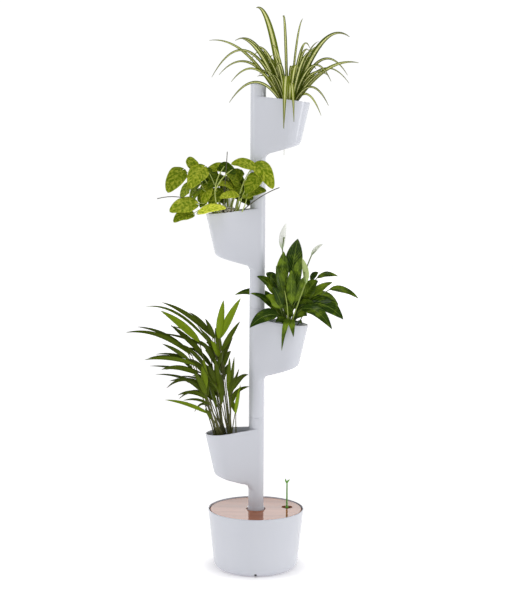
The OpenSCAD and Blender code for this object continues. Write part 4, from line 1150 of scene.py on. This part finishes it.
def makeLily(s):
    top = soilFrame(3)[0]
    draw = random.Random(s["seed"])
    leaves, stalks = newMesh(), newMesh()
    for i, (joint, tip, lift, width) in enumerate(s["leaves"] + s["innerLeaves"]):
        root = (s["rootShare"] * joint[0], s["rootShare"] * joint[1], leafSet["rootZ"])
        knee = [share * value for share, value in zip(s["kneeShares"], joint)]
        tone = s["bright"].get(i, draw.uniform(*s["tones"]))
        row = (joint, tip, lift, width * s["broader"])
        growOnStalk(leaves, stalks, top, row, root, knee, s["stalkRadii"], s["leaf"], tone, draw)
    finishLeaves("lilyLeaves", leaves, "lilyLeaf", "planting_3", ["peace_lily"])
    newPiece("lilyStalks", stalks, "lilyStalk", "planting_3")

    spathes, stems = newMesh(), newMesh()
    growStalk(stems, fromSoil(top, *s["frontStem"]), s["frontRadii"], tone=1.0)
    front = point((0, s["spadixFront"], 0))
    for (joint, tip, lift, width, tone), (root, knee) in zip(s["flowers"], s["stemStarts"]):
        start, bend, foot, end = fromSoil(top, root, knee, joint, tip)
        growStalk(stems, (start, bend, foot), s["stemRadii"], tone)
        growLeaf(spathes, foot, end, lift * mm, width * mm, s["flower"], tone, draw)
        spadixEnd = foot.lerp(end, s["spadixLength"]) + front
        spadix = (foot, foot.lerp(spadixEnd, 0.5) + front * s["spadixBow"], spadixEnd)
        growStalk(stems, spadix, (s["spadixRadii"][0], s["spadixRadii"][1] * width), rows=s["spadixRows"])
    thick = s["spatheThick"]
    finishLeaves("lilySpathes", spathes, "spathe", "planting_3", ["lily_flowers"], thick)
    newPiece("lilyStems", stems, "lilyStalk", "planting_3")


makeLily(lilySet)
print("peace lily made")


# palm in the lowest pot: rows are a leaflet's foot, its tip, its lift and its width, in mm

palmSet = {
    "seed": 41, "tones": (0.0, 0.45), "innerTones": (0, 0.4), "caneRadii": (2.1, 1.3),
    "rootShares": (0.28, 0.45), "rootShift": 10, "rootSpread": 13, "bendPlace": 0.55, "bow": 0.06,
    "bright": {0: 0.9, 5: 1.0, 6: 1.0, 13: 0.6, 17: 0.8, 24: 0.85, 28: 0.9},  # tones by row
    "besideFrom": 110, "besidePlace": 0.86, "besideLength": (0.6, 1.0), "besideTurn": 22, "besideDrift": 25,
    "besideWidth": 0.7, "besideLift": 0.6, "besideTones": (0, 0.35),
    "innerPlaces": (0.3, 0.4, 0.5, 0.6, 0.7, 0.8, 0.9),   # along the canes, where inner leaflets may start
    "leaf": {"fullness": 0.7, "blunt": 0.75, "neck": 0.2, "tip": 0.05, "fold": 0.3, "curl": 0.0,
             "wave": 0.03, "lobe": 0, "roll": 10, "acrossSteps": 6, "alongSteps": 20},
    "leaflets": [
        ((-88, -10, 306), (-207, -20, 403), 6, 28), ((-41, 10, 313), (-206, 5, 427), 16, 16),
        ((-47, 0, 322), (-119, -10, 398), 8, 12), ((-60, 20, 300), (-258, 30, 410), 34, 10),
        ((-40, 0, 313), (-69, -15, 379), 3, 14), ((-26, -10, 316), (-12, -30, 438), 4, 26),
        ((-23, 0, 316), (41, -15, 443), 6, 24), ((-110, -15, 263), (-314, -30, 336), 26, 17),
        ((-128, 0, 282), (-283, 20, 347), 14, 12), ((-118, -25, 250), (-201, -35, 302), 4, 14),
        ((-100, -30, 236), (-255, -50, 254), 12, 14), ((-90, -25, 205), (-203, -50, 224), 12, 19),
        ((-80, 25, 200), (-196, 50, 207), 10, 9), ((-70, -35, 155), (-73, -50, 258), 2, 24),
        ((-80, -35, 168), (-186, -60, 168), 24, 14), ((-70, 30, 155), (-228, 60, 190), 12, 9),
        ((-60, -40, 130), (-151, -65, 147), 14, 15), ((-55, -45, 85), (-190, -75, 134), 8, 13),
        ((-55, 40, 85), (-105, 60, 70), 20, 10), ((-50, -45, 70), (-68, -60, 105), 3, 12),
        ((-35, -30, 180), (-63, -45, 237), 8, 18), ((5, -25, 148), (8, -38, 260), 2, 16),
        ((14, -10, 160), (22, -22, 260), 2, 14), ((14, -35, 155), (66, -52, 210), 12, 20),
        ((28, -30, 83), (42, -46, 176), 2, 18), ((26, -20, 86), (5, -34, 145), 2, 14),
        ((-32, 0, 148), (-72, -15, 207), 4, 24), ((-47, 15, 133), (-91, 10, 201), 4, 22),
        ((-23, -5, 257), (-51, -15, 309), 4, 22), ((-30, 30, 240), (-90, 95, 330), 12, 22),
        ((-20, 35, 200), (10, 100, 260), 14, 22), ((-60, 40, 180), (-140, 110, 230), 16, 20),
        ((-40, 40, 120), (-80, 110, 120), 20, 18),
    ],
    "innerLeaflets": [
        ((-40, -30, 170), (-92, -50, 262), 8, 20), ((-20, -25, 150), (-38, -45, 262), 4, 20),
        ((-10, -20, 120), (-22, -40, 215), 4, 20), ((-50, -35, 140), (-102, -55, 215), 8, 18),
        ((0, -20, 130), (30, -40, 205), 6, 18), ((-30, -20, 200), (-12, -35, 285), 4, 18),
        ((-20, 10, 230), (16, 0, 318), 6, 18), ((-35, -10, 240), (-82, -25, 310), 8, 18),
        ((8, -20, 110), (38, -40, 162), 6, 15), ((-58, -40, 150), (-132, -60, 192), 10, 17),
        ((-45, 0, 215), (-120, 5, 285), 12, 16), ((-25, -15, 100), (-60, -35, 180), 6, 17),
        ((-50, -20, 190), (-140, -35, 250), 14, 14), ((-60, -10, 235), (-150, -20, 300), 12, 14),
    ],
}


def makePalm(s):
    top = soilFrame(4)[0]
    draw = random.Random(s["seed"])
    rootDraw = random.Random(s["seed"] + 1)
    leaves, canes = newMesh(), newMesh()
    onCanes = []
    acrossRoot, outRoot = s["rootShares"]
    for i, (foot, tip, lift, width) in enumerate(s["leaflets"]):
        x, y, z = foot
        rootX = acrossRoot * x + s["rootShift"] + rootDraw.uniform(-1, 1) * s["rootSpread"]
        root, end = fromSoil(top, (rootX, outRoot * y, leafSet["rootZ"]), foot)
        bend = root.lerp(end, s["bendPlace"]) - point((s["bow"] * x, 0, 0))
        tone = s["bright"].get(i, draw.uniform(*s["tones"]))
        growStalk(canes, (root, bend, end), s["caneRadii"])
        growLeaf(leaves, end, top + point(tip), lift * mm, width * mm, s["leaf"], tone, draw)
        onCanes += [onCurve(root, bend, end, t) for t in s["innerPlaces"]]
        if z < s["besideFrom"]:
            continue
        start = onCurve(root, bend, end, s["besidePlace"])
        turn = Matrix.Rotation(math.radians(draw.uniform(-s["besideTurn"], s["besideTurn"])), 3, "Y")
        run = turn @ (point(tip) - point(foot)) * draw.uniform(*s["besideLength"])
        run.y += draw.uniform(-s["besideDrift"], s["besideDrift"]) * mm
        low, narrow = s["besideLift"] * lift * mm, s["besideWidth"] * width * mm
        growLeaf(leaves, start, start + run, low, narrow, s["leaf"], draw.uniform(*s["besideTones"]), draw)
    for foot, tip, lift, width in s["innerLeaflets"]:
        want, end = fromSoil(top, foot, tip)
        start = min(onCanes, key=lambda p: (p - want).length)
        tone = draw.uniform(*s["innerTones"])
        growLeaf(leaves, start, end, lift * mm, width * mm, s["leaf"], tone, draw)
    finishLeaves("palmLeaflets", leaves, "palmLeaf", "planting_4", ["palm"])
    newPiece("palmCanes", canes, "palmCane", "planting_4")


makePalm(palmSet)
print("palm made")


# finishes of the CAD pieces that stay in view

nodeLooks = {
    "whitePlastic": ["mast_socket", "mast_cap"],
    "lidWood": ["lid"],
    "blackPlastic": ["pump_body", "pump_strainer", "float_guide", "top_spout"]
    + [f"liner_{n}" for n in modules] + [f"drain_plug_{n}" for n in modules],
    "rubber": ["pump_feet", "cable_gland", "notch_bush"] + [f"spigot_seal_{n}" for n in modules],
    "steel": ["socket_screws", "pump_rotor"],
    "hose": ["riser_tube"],
    "foam": ["float_body"],
}
for look, names in nodeLooks.items():
    for name in names:
        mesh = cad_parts[name].data
        mesh.materials.clear()
        mesh.materials.append(looks[look])
        for face in mesh.polygons:
            face.use_smooth = True
print("CAD pieces finished")


# studio: pale floor with a painted contact shadow, a bright wall all round and soft light

studio = {
    "floorSize": 20.0, "floorColour": (0.9, 0.9, 0.9, 1),
    # the floor glows less within glowReach of the middle: a painted contact shadow round the tank's foot
    "paintedShadowGlow": (0.2, 0.19, 0.2), "farGlow": (0.63, 0.62, 0.62), "glowReach": (0.1, 0.2),
    "wallRadius": 9.5, "wallHeight": 3.6, "wallSteps": 96, "wallColour": (0, 0, 0, 1),
    "wallGlow": (1.02, 1.02, 1.02), "ringGlow": (2.75, 2.75, 2.75),
    "ringReach": (2.45, 2.7), "backReach": (-3.0, 5.0),  # from where the wall's top and its back are brighter
    "worldColour": (0.94, 0.96, 1.0, 1), "worldStrength": 0.24,
    "lamps": {  # place, size and power
        "topSoftbox": ((0.3, -1.4, 3.4), (1.2, 0.9), 13),
        "rightSoftbox": ((3.1, -0.7, 1.4), (0.5, 2.4), 20),
        "leftSoftbox": ((-3.1, -0.9, 2.2), (0.6, 2.0), 18),
    },
    "aim": (0, 0, 0.8),
    "finish": {"Roughness": 0.9, "Specular IOR Level": 0.0, "Emission Strength": 1.0},
}


def paintFloor(k):
    # dimmer glow close to the middle, a painted contact shadow
    away = k.add("VectorMath", {"operation": "LENGTH"}, {0: k.coords()}, "Value")
    return {"Emission Color": away.step(*studio["glowReach"]).mix(studio["paintedShadowGlow"], studio["farGlow"])}


def paintWall(k):
    back, up = [k.add("SeparateXYZ", {}, {0: k.coords()}, axis) for axis in "YZ"]
    up, back = up.step(*studio["ringReach"]), back.step(*studio["backReach"])
    return {"Emission Color": (up * back).mix(studio["wallGlow"], studio["ringGlow"])}


def newStage(name, bm, colour, paint):
    stage = toObject(name, bm)
    stage.data.materials.append(newMaterial(name, {"Base Color": colour, **studio["finish"]}, paint))


def areaLight(name, place, size, power, aim):
    data = bpy.data.lights.new(name, "AREA")
    data.shape = "RECTANGLE"
    data.size, data.size_y = size
    data.energy = power
    light = bpy.data.objects.new(name, data)
    toward = Vector(aim) - Vector(place)
    light.matrix_world = Matrix.Translation(place) @ toward.to_track_quat("-Z", "Y").to_matrix().to_4x4()
    scene.collection.objects.link(light)


def makeStudio(s):
    bm = bmesh.new()
    bmesh.ops.create_grid(bm, x_segments=1, y_segments=1, size=s["floorSize"] / 2)
    newStage("studioFloor", bm, s["floorColour"], paintFloor)
    bm = bmesh.new()
    r, h = s["wallRadius"], s["wallHeight"]
    raised = Matrix.Translation((0, 0, h / 2))
    bmesh.ops.create_cone(bm, segments=s["wallSteps"], radius1=r, radius2=r, depth=h, matrix=raised)
    newStage("studioWall", bm, s["wallColour"], paintWall)
    world = bpy.data.worlds.new("studioWorld")
    world.use_nodes = True
    sky = world.node_tree.nodes["Background"]
    sky.inputs["Color"].default_value = s["worldColour"]
    sky.inputs["Strength"].default_value = s["worldStrength"]
    scene.world = world
    for name, (place, size, power) in s["lamps"].items():
        areaLight(name, place, size, power, s["aim"])
    scene.view_settings.view_transform = "Standard"


makeStudio(studio)
print("studio set")
